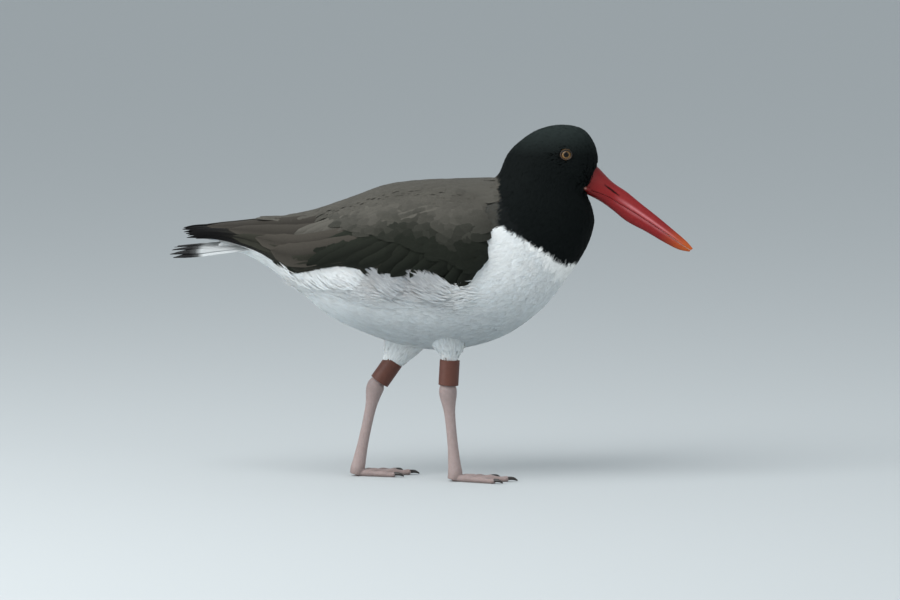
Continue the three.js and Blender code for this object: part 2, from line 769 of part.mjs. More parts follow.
for (const leg of LEGS) {
  const shankPoints = mirrored(leg.shank, leg.sign);
  const shankWhole = limb(shankPoints, SHANK_SIZE, 15);
  const shankGrown = limb(shankPoints, SHANK_SIZE.map((r) => r.map((v) => v + GAP)), 15);
  const thighPoints = mirrored(leg.thigh, leg.sign);
  const thighSizes = leg.thigh.map((p) => [p[3], p[3] * 0.86]);
  const thigh = limb(thighPoints, thighSizes, 10).subtract(bodyGrown).subtract(shankGrown);
  addNode(`thigh_${leg.side}`, thigh, FINISHES.plumage);
  const shank = shankWhole.trimByPlane([0, 0, 1], ANKLE_CUT_Z + HALF_GAP).subtract(bodyGrown);
  addNode(`shank_${leg.side}`, shank, FINISHES.leg);
  const { whole, claws } = foot(leg);
  let footCut = whole;
  for (const { name, solid, around } of claws) {
    addNode(`claw_${name}_${leg.side}`, solid, FINISHES.claw);
    footCut = footCut.subtract(around);
  }
  addNode(`foot_${leg.side}`, footCut, FINISHES.leg);
  const ring = band(leg, shankGrown).subtract(thighGrown(thighPoints, thighSizes));
  addNode(`leg_band_${leg.side}`, ring, FINISHES.band);
}

function thighGrown(points, sizes) {
  return limb(points, sizes.map((r) => r.map((v) => v + GAP)), 10);
}

addNode("tail", tail().subtract(bodyGrown), FINISHES.tail);
const leftWing = largest(wing().subtract(bodyGrown).subtract(tail(GAP)).trimByPlane([0, 1, 0], HALF_GAP));
addNode("wing_left", leftWing, FINISHES.wing);
addNode("wing_right", leftWing.mirror([0, 1, 0]), FINISHES.wing);
addNode("torso", torso, FINISHES.plumage);

// The model's origin lies under the middle of its box, on the floor.
const box = new THREE.Box3().setFromObject(bird);
bird.position.set(-(box.min.x + box.max.x) / 2, -(box.min.y + box.max.y) / 2, -box.min.z);

export default bird;
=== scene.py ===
"""An oystercatcher in mid stride, life size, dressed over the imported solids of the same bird.

Lengths inside the classes are millimetres in the bird's own frame: +X towards the bill's tip, +Y the
bird's left side and +Z up from the floor. Meshes are written in metres.
"""

from __future__ import annotations

import logging
import math
from dataclasses import dataclass, field
from enum import Enum
from typing import Callable, Sequence

import bpy
import numpy as np
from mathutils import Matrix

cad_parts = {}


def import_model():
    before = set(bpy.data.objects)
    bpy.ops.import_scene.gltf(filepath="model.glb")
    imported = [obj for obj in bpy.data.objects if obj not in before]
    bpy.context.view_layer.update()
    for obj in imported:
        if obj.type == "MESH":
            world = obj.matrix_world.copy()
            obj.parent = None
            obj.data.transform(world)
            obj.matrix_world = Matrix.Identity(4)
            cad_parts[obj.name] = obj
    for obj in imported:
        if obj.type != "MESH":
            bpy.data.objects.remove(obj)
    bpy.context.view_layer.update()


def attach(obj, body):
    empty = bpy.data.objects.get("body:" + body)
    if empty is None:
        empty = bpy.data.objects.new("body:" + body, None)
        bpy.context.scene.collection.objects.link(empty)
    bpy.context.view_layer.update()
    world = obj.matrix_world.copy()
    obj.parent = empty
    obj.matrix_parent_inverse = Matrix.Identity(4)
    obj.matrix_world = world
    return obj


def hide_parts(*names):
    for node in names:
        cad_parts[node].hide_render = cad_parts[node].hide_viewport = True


log = logging.getLogger("oystercatcher")

MM = 0.001
FRAME_SHIFT = (1.7018, 0.0, 0.0)  # from the outlines' own origin to the middle of the bird's box
SEED = 7
BAKE_MAP = "OFBake"
VANE_MAP = "vane"
PAINT = "paint"
PATCH = 0.003  # width of one feather's patch on the bake map
LAST_STATION = 9  # the wing's tip, counted from nought at the wrist

Points = np.ndarray


class Side(Enum):
    """The bird's own sides, with the sign of Y on each."""

    LEFT = 1
    RIGHT = -1


def srgb(red: float, green: float, blue: float) -> np.ndarray:
    """Turns a display colour into a linear one.

    Args:
        red, green, blue: Channels from 0 to 255.
    Returns:
        The three linear channels from 0 to 1.
    """
    value = np.array([red, green, blue], float) / 255
    return np.where(value <= 0.04045, value / 12.92, ((value + 0.055) / 1.055) ** 2.4)


class Colour:
    """The bird's colours, with some painted sheen, shade and highlight, as linear triples."""

    HOOD = srgb(12, 16, 16)
    # Painted sheen on the top of the head, over the black hood.
    CROWN_SHEEN = srgb(36, 43, 42)
    MANTLE = srgb(81, 79, 73)
    COVERT = srgb(31, 34, 28)
    SECONDARY = srgb(41, 41, 35)
    TERTIAL = srgb(56, 53, 48)
    PRIMARY = srgb(14, 14, 15)
    WHITE = srgb(238, 239, 237)
    SHADED_WHITE = srgb(206, 211, 212)
    # Painted shadow among the flank feathers below the wing's edge.
    FLANK_SHADOW = srgb(152, 152, 154)
    TAIL = srgb(14, 14, 15)
    BILL_BASE = srgb(110, 15, 13)
    BILL_MIDDLE = srgb(134, 27, 29)
    # A painted highlight along the edge of the mouth.
    BILL_HIGHLIGHT = srgb(190, 112, 116)
    BILL_TIP = srgb(176, 82, 28)
    GAPE = srgb(176, 140, 128)
    LID = srgb(52, 36, 24)
    IRIS = srgb(128, 98, 60)
    PUPIL = srgb(5, 5, 6)
    LEG = srgb(152, 136, 133)
    LEG_DARK = srgb(120, 100, 92)
    CLAW = srgb(38, 33, 30)
    BAND = srgb(88, 53, 43)


# Curves and surfaces


def smooth_rows(rows: Points, at: Points) -> Points:
    """Follows the rows of a table smoothly.

    Args:
        rows: Table of shape (rows, columns).
        at: Places along it from 0 to 1, any shape.
    Returns:
        Rows at those places, of shape at.shape + (columns,).
    """
    rows = np.asarray(rows, float)
    last = len(rows) - 1
    place = np.clip(at, 0, 1) * last
    start = np.clip(np.floor(place).astype(int), 0, last - 1)
    f = (place - start)[..., None]
    padded = np.vstack([2 * rows[0] - rows[1], rows, 2 * rows[-1] - rows[-2]])
    a, b, c, d = (padded[start + k] for k in range(4))
    return 0.5 * (2 * b + (c - a) * f + (2 * a - 5 * b + 4 * c - d) * f**2 + (3 * b - a - 3 * c + d) * f**3)


def unit(vectors: Points) -> Points:
    """Vectors of length one along the last axis."""
    return vectors / np.maximum(np.linalg.norm(vectors, axis=-1, keepdims=True), 1e-9)


class Surface:
    """A surface with two parameters: feathers lie along falling u, side by side along v."""

    def point(self, u: Points, v: Points) -> Points:
        """Points of the surface, of shape u.shape + (3,)."""
        raise NotImplementedError

    def normal(self, u: Points, v: Points) -> Points:
        """Outward normals at those places."""
        step = 2e-3
        along = self.point(u + step, v) - self.point(u - step, v)
        across = self.point(u, v + step) - self.point(u, v - step)
        return unit(np.cross(along, across))

    def rates(self, u: Points, v: Points) -> tuple[Points, Points]:
        """Millimetres travelled per unit of u and of v."""
        step = 2e-3
        along = np.linalg.norm(self.point(u + step, v) - self.point(u - step, v), axis=-1) / (2 * step)
        across = np.linalg.norm(self.point(u, v + step) - self.point(u, v - step), axis=-1) / (2 * step)
        return np.maximum(along, 8), np.maximum(across, 8)


@dataclass
class BodySurface(Surface):
    """The outline of the whole feathered body from rump to face, as ribs across it.

    Each rib is back x, back z, belly x, belly z and half width. u runs from rump to face and v once
    round from the back over the bird's left side.
    """

    roundness: float = 2.15
    ribs: Points = field(
        default_factory=lambda: np.array(
            [
                [-134.9, 168.9, -133.5, 157.8, 11],
                [-118.3, 172.3, -118.3, 150.2, 21],
                [-93.5, 175.8, -94.2, 132.1, 30],
                [-68.0, 182.0, -72.8, 114.1, 38],
                [-43.8, 191.0, -49.3, 102.4, 42.5],
                [-19.7, 199.3, -19.7, 92.7, 44.5],
                [4.5, 204.9, 11.4, 89.9, 45.5],
                [23.8, 206.6, 45.9, 98.2, 44.5],
                [36.2, 206.9, 73.5, 116.9, 41.5],
                [42.4, 208.3, 92.8, 140.5, 36],
                [45.9, 212.5, 105.2, 159.9, 30.5],
                [48.3, 218.7, 110.7, 176.5, 26.5],
                [52.1, 226.0, 109.4, 186.9, 24],
                [59.4, 233.3, 106.9, 193.4, 22.5],
                [70.0, 240.5, 106.3, 195.5, 21.5],
                [81.8, 244.3, 105.9, 196.4, 20.5],
                [94.2, 244.5, 105.8, 196.7, 19],
                [103.8, 241.2, 105.6, 196.9, 16.5],
                [110.1, 233.3, 105.6, 197.0, 13],
                [112.8, 225.0, 105.5, 197.1, 9.5],
                [113.5, 216.6, 105.4, 197.2, 6.5],
            ]
        )
    )

    def point(self, u: Points, v: Points, grow: float = 0.0) -> Points:
        """Points of the surface; grow moves them outwards in millimetres."""
        u, v = np.broadcast_arrays(np.asarray(u, float), np.asarray(v, float))
        rib = smooth_rows(self.ribs, u)
        back = np.stack([rib[..., 0], 0 * u, rib[..., 1]], -1)
        belly = np.stack([rib[..., 2], 0 * u, rib[..., 3]], -1)
        up = (back - belly) / 2
        height = np.linalg.norm(up, axis=-1, keepdims=True)
        up = up / height
        turn = 2 * np.pi * v
        power = 2 / self.roundness
        rise = np.sign(np.cos(turn)) * np.abs(np.cos(turn)) ** power
        side = np.sign(np.sin(turn)) * np.abs(np.sin(turn)) ** power
        place = (back + belly) / 2 + up * (height + grow) * rise[..., None]
        place[..., 1] += (rib[..., 4] + grow) * side
        over = np.minimum(u, 0) * 400 + np.maximum(u - 1, 0) * 300
        place[..., 0] += over
        return place


@dataclass
class WingSurface(Surface):
    """The outer sheet of one folded wing: u falls from the wrist to the tip, v runs from the upper edge
    to the lower one. Stations are counted from 0 at the wrist to 9 at the tip."""

    side: Side = Side.LEFT
    upper: Points = field(
        default_factory=lambda: np.array(
            [
                [37.6, 30, 195.9],
                [14.8, 20, 203.6],
                [-9.3, 12, 205.3],
                [-33.5, 7.5, 201.9],
                [-57.6, 5.5, 192.9],
                [-81.8, 5, 184.6],
                [-105.9, 5, 180.4],
                [-133.5, 5.5, 177],
                [-161.1, 6, 175.8],
                [-172.2, 7, 173.7],
            ]
        )
    )
    bulge: Points = field(
        default_factory=lambda: np.array(
            [
                [42.7, 40, 173.7],
                [16.9, 48, 170.9],
                [-7.9, 50.5, 172.3],
                [-33.5, 50, 171.6],
                [-59.7, 46, 169.5],
                [-87.3, 39, 164.7],
                [-105, 31.5, 164.8],
                [-128, 22.5, 169.3],
                [-155, 15.5, 171.6],
                [-171.5, 10.5, 169.8],
            ]
        )
    )
    lower: Points = field(
        default_factory=lambda: np.array(
            [
                [37.9, 42, 150.2],
                [19.7, 45, 135.6],
                [-5.9, 47, 139.8],
                [-33.5, 46, 139.8],
                [-61.1, 43, 146.0],
                [-92.1, 36.5, 143.9],
                [-104, 31, 147.5],
                [-122.5, 23.5, 159.2],
                [-148.5, 16.5, 166.6],
                [-170.5, 12, 166],
            ]
        )
    )

    def point(self, u: Points, v: Points) -> Points:
        """Points of the sheet; u is one at the wrist and nought at the tip."""
        u, v = np.broadcast_arrays(np.asarray(u, float), np.asarray(v, float))
        at = 1 - u
        share = v[..., None]
        top, middle, low = (smooth_rows(rows, at) for rows in (self.upper, self.bulge, self.lower))
        place = 2 * (share - 0.5) * (share - 1) * top
        place = place + 4 * share * (1 - share) * middle + 2 * share * (share - 0.5) * low
        place[..., 1] *= self.side.value
        place[..., 0] += np.minimum(u, 0) * 200
        return place

    def normal(self, u: Points, v: Points) -> Points:
        """Normals away from the body."""
        found = super().normal(u, v)
        outward = found[..., 1:2] * self.side.value
        return np.where(outward < 0, -found, found)


@dataclass
class BackSurface(Surface):
    """The mantle between the wings: u falls from the nape to the rump, v runs from the right to the left.

    Its rows are x, height at the spine, half width and how much lower its sides lie.
    """

    rows: Points = field(
        default_factory=lambda: np.array(
            [
                [47, 209.6, 25, 10.5],
                [37, 207.9, 30, 12.5],
                [15, 207.2, 27, 7.6],
                [-9, 206.2, 22, 6.6],
                [-33, 202.9, 18, 5.6],
                [-57, 194.3, 15, 4.4],
                [-82, 186.0, 14, 3.7],
                [-104, 181.4, 11, 2.6],
            ]
        )
    )

    def point(self, u: Points, v: Points) -> Points:
        """Points of the mantle."""
        u, v = np.broadcast_arrays(np.asarray(u, float), np.asarray(v, float))
        row = smooth_rows(self.rows, 1 - u)
        across = 2 * v - 1
        x = row[..., 0] + 200 * np.minimum(u, 0) + 100 * np.maximum(u - 1, 0)
        return np.stack([x, across * row[..., 2], row[..., 1] - row[..., 3] * across**2], -1)


@dataclass
class LimbSurface(Surface):
    """A tapering round limb: u is one at its first point and falls to its last, v runs round it."""

    points: Points
    sizes: Points

    def point(self, u: Points, v: Points) -> Points:
        """Points of the limb's skin."""
        u, v = np.broadcast_arrays(np.asarray(u, float), np.asarray(v, float))
        at = 1 - u
        centre = smooth_rows(self.points, at)
        ahead, behind = smooth_rows(self.points, at + 0.01), smooth_rows(self.points, at - 0.01)
        along = unit(ahead - behind + [0, 0, -1e-6])
        front = unit(np.cross(np.array([0.0, 1, 0]), along))
        across = np.cross(along, front)
        size = smooth_rows(self.sizes, at)
        turn = 2 * np.pi * v
        return (
            centre
            + front * (size[..., 0] * np.cos(turn))[..., None]
            + across * (size[..., 1] * np.sin(turn))[..., None]
            + along * (np.maximum(-u, 0) * 60)[..., None]
        )

    def normal(self, u: Points, v: Points) -> Points:
        """Normals away from the limb's middle line."""
        found = super().normal(u, v)
        outward = self.point(u, v) - smooth_rows(self.points, 1 - u)
        flip = np.sum(found * outward, -1, keepdims=True) < 0
        return np.where(flip, -found, found)


# Meshes


@dataclass
class MeshData:
    """Triangles with paint and maps, gathered before they become one object."""

    verts: Points
    faces: Points
    paint: Points
    bake: Points | None = None
    vane: Points | None = None
    normals: Points | None = None

    def __post_init__(self) -> None:
        """Turns the triangles so that they face out of the solid."""
        a, b, c = (self.verts[self.faces[:, k]] for k in range(3))
        if float(np.sum(np.einsum("ij,ij->i", a, np.cross(b, c)))) < 0:
            self.faces = self.faces[:, ::-1]

    @staticmethod
    def joined(parts: Sequence["MeshData"]) -> "MeshData":
        """All the parts as one mesh."""
        start = np.cumsum([0] + [len(p.verts) for p in parts[:-1]])
        faces = np.vstack([p.faces + s for p, s in zip(parts, start)])

        def stacked(name: str, width: int) -> Points:
            """One value of all the parts, with noughts where a part has none."""
            held = [getattr(part, name) for part in parts]
            blank = [np.zeros((len(part.verts), width)) for part in parts]
            return np.vstack([b if h is None else h for h, b in zip(held, blank)])

        lit = stacked("normals", 3) if any(p.normals is not None for p in parts) else None
        verts = np.vstack([p.verts for p in parts])
        return MeshData(verts, faces, stacked("paint", 3), stacked("bake", 2), stacked("vane", 2), lit)

    def build(self, name: str, material: bpy.types.Material, slot: str) -> bpy.types.Object:
        """Writes the triangles to a new object that rides on the bird.

        Args:
            name: The piece's name.
            material: Its finish.
            slot: The material slot it belongs to; not used.
        Returns:
            The linked object.
        """
        mesh = bpy.data.meshes.new(name)
        count = len(self.faces)
        mesh.vertices.add(len(self.verts))
        places = (self.verts + np.array(FRAME_SHIFT)) * MM
        mesh.vertices.foreach_set("co", places.astype(np.float32).ravel())
        mesh.loops.add(3 * count)
        mesh.loops.foreach_set("vertex_index", self.faces.astype(np.int32).ravel())
        mesh.polygons.add(count)
        mesh.polygons.foreach_set("loop_start", np.arange(0, 3 * count, 3, dtype=np.int32))
        mesh.polygons.foreach_set("use_smooth", np.ones(count, bool))
        mesh.update(calc_edges=True)
        mesh.validate()
        for map_name, values in ((BAKE_MAP, self.bake), (VANE_MAP, self.vane)):
            if values is None:
                continue
            layer = mesh.uv_layers.new(name=map_name)
            corner = np.empty(len(mesh.loops), np.int32)
            mesh.loops.foreach_get("vertex_index", corner)
            layer.data.foreach_set("uv", values[corner].astype(np.float32).ravel())
        colours = mesh.color_attributes.new(name=PAINT, type="FLOAT_COLOR", domain="POINT")
        rgba = np.hstack([np.clip(self.paint, 0, 1), np.ones((len(self.verts), 1))])
        colours.data.foreach_set("color", rgba.astype(np.float32).ravel())
        if self.normals is not None:
            mesh.normals_split_custom_set_from_vertices(self.normals.astype(np.float32))
        mesh.materials.append(material)
        piece = bpy.data.objects.new(name, mesh)
        bpy.context.scene.collection.objects.link(piece)
        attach(piece, "root")
        return piece


def grid_faces(rows: int, around: int) -> Points:
    """Triangles of a tube of rings, each ring the same count of points, with its two ends closed."""
    faces = []
    for i in range(rows - 1):
        for j in range(around):
            a = i * around + j
            b = i * around + (j + 1) % around
            faces += [(a, b, b + around), (a, b + around, a + around)]
    last = (rows - 1) * around
    faces += [(0, k + 1, k) for k in range(1, around - 1)]
    faces += [(last, last + k, last + k + 1) for k in range(1, around - 1)]
    return np.array(faces, int)


def loop_faces(rings: int, around: int) -> Points:
    """Triangles of a tube whose last ring meets its first, such as a lid ring or a leg band."""
    faces = []
    for i in range(rings):
        for j in range(around):
            here, beside = i * around, ((i + 1) % rings) * around
            step = (j + 1) % around
            faces += [(here + j, here + step, beside + step), (here + j, beside + step, beside + j)]
    return np.array(faces)


def repeated(faces: Points, copies: int, points: int) -> Points:
    """The triangles of one feather for each of its copies, every copy with the same count of points."""
    return (faces[None] + (np.arange(copies) * points)[:, None, None]).reshape(-1, 3)


def vane_map(s: Points, across: Points) -> Points:
    """Places on a feather's own map, of shape (steps, points across, 2)."""
    return np.stack(np.broadcast_arrays(across[None, :] / 2 + 0.5, s[:, None]), -1)


def places_of(mesh: bpy.types.Mesh) -> Points:
    """The vertices of a mesh in metres, of shape (n, 3)."""
    places = np.empty(3 * len(mesh.vertices), np.float32)
    mesh.vertices.foreach_get("co", places)
    return places.reshape(-1, 3)


def one_skin(piece: bpy.types.Object, cell: float, rounds: int = 0) -> None:
    """Joins the overlapping closed parts of a piece into one skin.

    Args:
        piece: The piece.
        cell: The size of the cells that it is rebuilt from, in millimetres.
        rounds: Rounds of smoothing after that.
    """
    remesh = piece.modifiers.new("one_skin", "REMESH")
    remesh.mode = "VOXEL"
    remesh.voxel_size = cell * MM
    if rounds:
        smooth = piece.modifiers.new("soften", "SMOOTH")
        smooth.factor = 0.5
        smooth.iterations = rounds
    with bpy.context.temp_override(object=piece, active_object=piece):
        bpy.context.view_layer.objects.active = piece
        for name in [modifier.name for modifier in piece.modifiers]:
            bpy.ops.object.modifier_apply(modifier=name)


def repaint(mesh: bpy.types.Mesh, colour: Points) -> None:
    """Gives a mesh new paint and smooth shading, after its shape was joined."""
    for old in list(mesh.color_attributes):
        mesh.color_attributes.remove(old)
    colours = mesh.color_attributes.new(name=PAINT, type="FLOAT_COLOR", domain="POINT")
    rgba = np.hstack([colour, np.ones((len(colour), 1))])
    colours.data.foreach_set("color", rgba.astype(np.float32).ravel())
    mesh.polygons.foreach_set("use_smooth", np.ones(len(mesh.polygons), bool))


def ellipsoid(
    centre: Points, ways: Points, sizes: Sequence[float], rows: int, around: int
) -> tuple[Points, Points]:
    """Points and triangles of an ellipsoid.

    Args:
        centre: Its middle.
        ways: Its three axes as rows; the poles lie on the second.
        sizes: Half sizes along them.
        rows, around: How finely it is divided.
    Returns:
        Points (n, 3) and triangles.
    """
    angle = np.linspace(0.02, np.pi - 0.02, rows)
    turn = np.linspace(0, 2 * np.pi, around, endpoint=False)
    a, b = np.meshgrid(angle, turn, indexing="ij")
    share = np.stack([np.sin(a) * np.cos(b), np.cos(a), np.sin(a) * np.sin(b)], -1).reshape(-1, 3)
    return centre + (share * np.asarray(sizes)) @ ways, grid_faces(rows, around)


class Shape(Enum):
    """Cross-sections of a feather: across from -1 to 1, and up in shares of its thickness."""

    BARB = ((-1, -0.3), (0, 0.6), (1, -0.3))
    SOFT = ((-1, 0), (-0.65, 0.45), (0.65, 0.45), (1, 0), (0, -0.45))
    VANE = (
        (-1, 0.2),
        (-0.5, 0.42),
        (0, 0.6),
        (0.5, 0.42),
        (1, 0.2),
        (1, -0.2),
        (0.5, -0.4),
        (0, -0.5),
        (-0.5, -0.4),
        (-1, -0.2),
    )

    def facing(self) -> np.ndarray:
        """One for the points of the upper face, minus one for those of the lower face."""
        section = np.array(self.value, float)
        return np.where((section[:, 1] < 0) & (np.abs(section[:, 0]) < 0.99), -1.0, 1.0)


@dataclass
class Plumage:
    """Feathers of one kind on one surface.

    Args:
        shape: The feather's cross-section.
        profile: Half widths at even steps from root to tip, as shares of the width.
        rise: Heights over the surface at even steps from root to tip, in millimetres.
        camber: How far the edges lie below the middle, as a share of the half width.
        thick: Thickness at the middle, in millimetres.
        rounding: How far the light turns from the middle of a feather to its edges.
    """

    shape: Shape
    profile: Sequence[float]
    rise: Sequence[float]
    camber: float = 0.12
    thick: float = 0.3
    rounding: float = 0.25

    def grow(
        self,
        surface: Surface,
        u: Points,
        v: Points,
        length: Points,
        half_width: Points,
        swing: Points,
        paint: Callable[[Points, Points, Points], Points],
        bake: Callable[[Points, Points], Points],
        lift: Points | float = 0.0,
        roll: Points | float = 0.0,
        patch: float = PATCH,
    ) -> MeshData:
        """Grows one feather at each place.

        Args:
            surface: What they lie on.
            u, v: Their roots.
            length, half_width: Their sizes in millimetres.
            swing: Angle away from straight back along the surface, in radians.
            paint: Colours from middle lines (n, steps, 3), steps along (s,) and steps across (k,).
            bake: Places on the bake map from u and v.
            lift: Added height of the tip in millimetres.
            roll: Turn about the feather's own length, in radians.
            patch: The width of one feather's patch on the bake map.
        Returns:
            All the feathers as one mesh.
        """
        n = len(u)
        steps = len(self.profile)
        s = np.linspace(0, 1, steps)
        rate_u, rate_v = surface.rates(u, v)
        du = -np.cos(swing) * length / rate_u
        dv = np.sin(swing) * length / rate_v
        line_u = u[:, None] + du[:, None] * s
        line_v = v[:, None] + dv[:, None] * s
        centre = surface.point(line_u, line_v)
        normal = surface.normal(line_u, line_v)
        along = unit(np.gradient(centre, axis=1))
        side = unit(np.cross(normal, along))
        roll = np.broadcast_to(np.asarray(roll, float), (n,))[:, None, None]
        side = side * np.cos(roll) + normal * np.sin(roll)
        tip = np.broadcast_to(np.asarray(lift, float), (n,))[:, None]
        height = np.asarray(self.rise, float)[None, :] + tip * s**2
        section = np.array(self.shape.value, float)
        across, up = section[:, 0], section[:, 1]
        half = half_width[:, None] * np.asarray(self.profile)[None, :]
        taper = np.maximum(np.asarray(self.profile), 0.25) * np.linspace(1, 0.5, steps)
        out = up[None, None, :] * self.thick * taper[None, :, None]
        out = out + height[..., None] - self.camber * half[..., None] * across[None, None, :] ** 2
        verts = (
            centre[:, :, None, :]
            + side[:, :, None, :] * (half[..., None] * across)[..., None]
            + normal[:, :, None, :] * out[..., None]
        )
        k = len(across)
        colours = np.broadcast_to(paint(centre, s, across), (n, steps, k, 3))
        root = bake(u, v)
        spot = np.stack(np.broadcast_arrays(across[None, :] / 2, s[:, None] - 0.5), -1) * patch
        maps = root[:, None, None, :] + spot[None]
        own = np.broadcast_to(vane_map(s, across)[None], (n, steps, k, 2))
        facing = self.shape.facing()[None, None, :, None]
        turned = (self.rounding * across)[None, None, :, None]
        lit = normal[:, :, None, :] * facing + side[:, :, None, :] * turned
        lit = unit(lit + 0.12 * along[:, :, None, :] * (s - 0.4)[None, :, None, None])
        return MeshData(
            verts.reshape(-1, 3),
            repeated(grid_faces(steps, k), n, steps * k),
            colours.reshape(-1, 3),
            np.clip(maps.reshape(-1, 2), 0, 1),
            own.reshape(-1, 2),
            lit.reshape(-1, 3),
        )


# Finishes


@dataclass(frozen=True)
class Finish:
    """A surface finish that reads its colour from the paint on the mesh.

    Args:
        name: The material's name.
        roughness: How matt it is, from 0 to 1.
        sheen: Strength of the soft edge light of plumage.
        sheen_tint: Its colour.
        coat: Strength of a clear wet or polished layer.
        subsurface: How far light goes in.
        mottle: Share by which fine noise darkens and lightens the colour.
        mottle_scale: Noise cells per metre.
        bump: Height of the fine relief in millimetres.
        bump_scale: Relief cells per metre.
        barbs: Number of barb lines along a feather; nought for none.
        scales: Cells per metre of a relief of scales; nought for none.
        specular: How strongly it mirrors.
    """

    name: str
    roughness: float = 0.6
    sheen: float = 0.0
    sheen_tint: tuple[float, float, float] = (1, 1, 1)
    coat: float = 0.0
    subsurface: float = 0.0
    mottle: float = 0.1
    mottle_scale: float = 900.0
    bump: float = 0.0
    bump_scale: float = 2500.0
    barbs: float = 0.0
    scales: float = 0.0
    specular: float = 0.35

    def material(self) -> bpy.types.Material:
        """Builds the node material."""
        made = bpy.data.materials.new(self.name)
        made.use_nodes = True
        nodes, links = made.node_tree.nodes, made.node_tree.links
        shader = nodes["Principled BSDF"]
        constants = {
            "Roughness": self.roughness,
            "Specular IOR Level": self.specular,
            "Sheen Weight": self.sheen,
            "Sheen Roughness": 0.4,
            "Sheen Tint": (*self.sheen_tint, 1),
            "Coat Weight": self.coat,
            "Coat Roughness": 0.06,
            "Subsurface Weight": self.subsurface,
            "Subsurface Radius": (0.003, 0.0015, 0.001),
            "Subsurface Scale": 1.0,
        }
        for socket, value in constants.items():
            shader.inputs[socket].default_value = value
        colour = nodes.new("ShaderNodeAttribute")
        colour.attribute_name = PAINT
        where = nodes.new("ShaderNodeTexCoord")
        noise = nodes.new("ShaderNodeTexNoise")
        noise.inputs["Scale"].default_value = self.mottle_scale
        noise.inputs["Detail"].default_value = 3
        links.new(where.outputs["Object"], noise.inputs["Vector"])
        span = nodes.new("ShaderNodeMapRange")
        span.inputs["To Min"].default_value = 1 - self.mottle
        span.inputs["To Max"].default_value = 1 + self.mottle
        links.new(noise.outputs["Fac"], span.inputs["Value"])
        tone = nodes.new("ShaderNodeVectorMath")
        tone.operation = "SCALE"
        links.new(colour.outputs["Color"], tone.inputs[0])
        links.new(span.outputs["Result"], tone.inputs["Scale"])
        links.new(tone.outputs["Vector"], shader.inputs["Base Color"])
        relief = self._relief(made.node_tree, where.outputs["Object"])
        if relief is not None:
            bump = nodes.new("ShaderNodeBump")
            bump.inputs["Distance"].default_value = self.bump * MM
            bump.inputs["Strength"].default_value = 1.0
            links.new(relief, bump.inputs["Height"])
            links.new(bump.outputs["Normal"], shader.inputs["Normal"])
        return made

    def _relief(self, tree: bpy.types.NodeTree, where: bpy.types.NodeSocket) -> bpy.types.NodeSocket | None:
        """The heights of the fine relief: barbs, scales, grain or nothing.

        Args:
            tree: The material's nodes.
            where: Places on the object.
        Returns:
            The socket that gives the heights, or None for a smooth finish.
        """
        if self.barbs:
            return self._barb_lines(tree)
        if self.scales:
            cells = tree.nodes.new("ShaderNodeTexVoronoi")
            cells.feature = "DISTANCE_TO_EDGE"
            cells.inputs["Scale"].default_value = self.scales
            tree.links.new(where, cells.inputs["Vector"])
            edge = tree.nodes.new("ShaderNodeMapRange")
            edge.inputs["From Max"].default_value = 0.12
            tree.links.new(cells.outputs["Distance"], edge.inputs["Value"])
            return edge.outputs["Result"]
        if self.bump:
            fine = tree.nodes.new("ShaderNodeTexNoise")
            fine.inputs["Scale"].default_value = self.bump_scale
            fine.inputs["Detail"].default_value = 4
            tree.links.new(where, fine.inputs["Vector"])
            return fine.outputs["Fac"]
        return None

    def _barb_lines(self, tree: bpy.types.NodeTree) -> bpy.types.NodeSocket:
        """Slanting ridges that run out from a feather's shaft on both sides."""
        slope = -0.35
        own = tree.nodes.new("ShaderNodeUVMap")
        own.uv_map = VANE_MAP
        split = tree.nodes.new("ShaderNodeSeparateXYZ")
        tree.links.new(own.outputs["UV"], split.inputs["Vector"])
        off_shaft = self._arithmetic(tree, "SUBTRACT", split.outputs["X"], 0.5)
        away = self._arithmetic(tree, "ABSOLUTE", off_shaft)
        slant = self._arithmetic(tree, "MULTIPLY_ADD", away, slope, split.outputs["Y"])
        wave = self._arithmetic(tree, "MULTIPLY", slant, self.barbs * 2 * math.pi)
        return self._arithmetic(tree, "SINE", wave)

    @staticmethod
    def _arithmetic(
        tree: bpy.types.NodeTree, operation: str, *values: bpy.types.NodeSocket | float
    ) -> bpy.types.NodeSocket:
        """Adds one arithmetic node, fed by sockets or plain numbers in the order of its inputs."""
        node = tree.nodes.new("ShaderNodeMath")
        node.operation = operation
        for entry, value in zip(node.inputs, values):
            if isinstance(value, bpy.types.NodeSocket):
                tree.links.new(value, entry)
            else:
                entry.default_value = value
        return node.outputs["Value"]


# The body and its coat


def between(value: Points, low: float, high: float) -> Points:
    """Nought below low, one above high and an even ramp between them."""
    return np.clip((value - low) / (high - low), 0, 1)


def pale_fringe(s: Points, across: Points) -> Points:
    """How a rounded feather pales towards its edges and its tip, of shape (steps, points across)."""
    edge, tip = between(np.abs(across), 0.6, 1.0), between(s, 0.75, 1.0)
    return 1 + 0.1 * np.maximum(edge[None, :], tip[:, None])


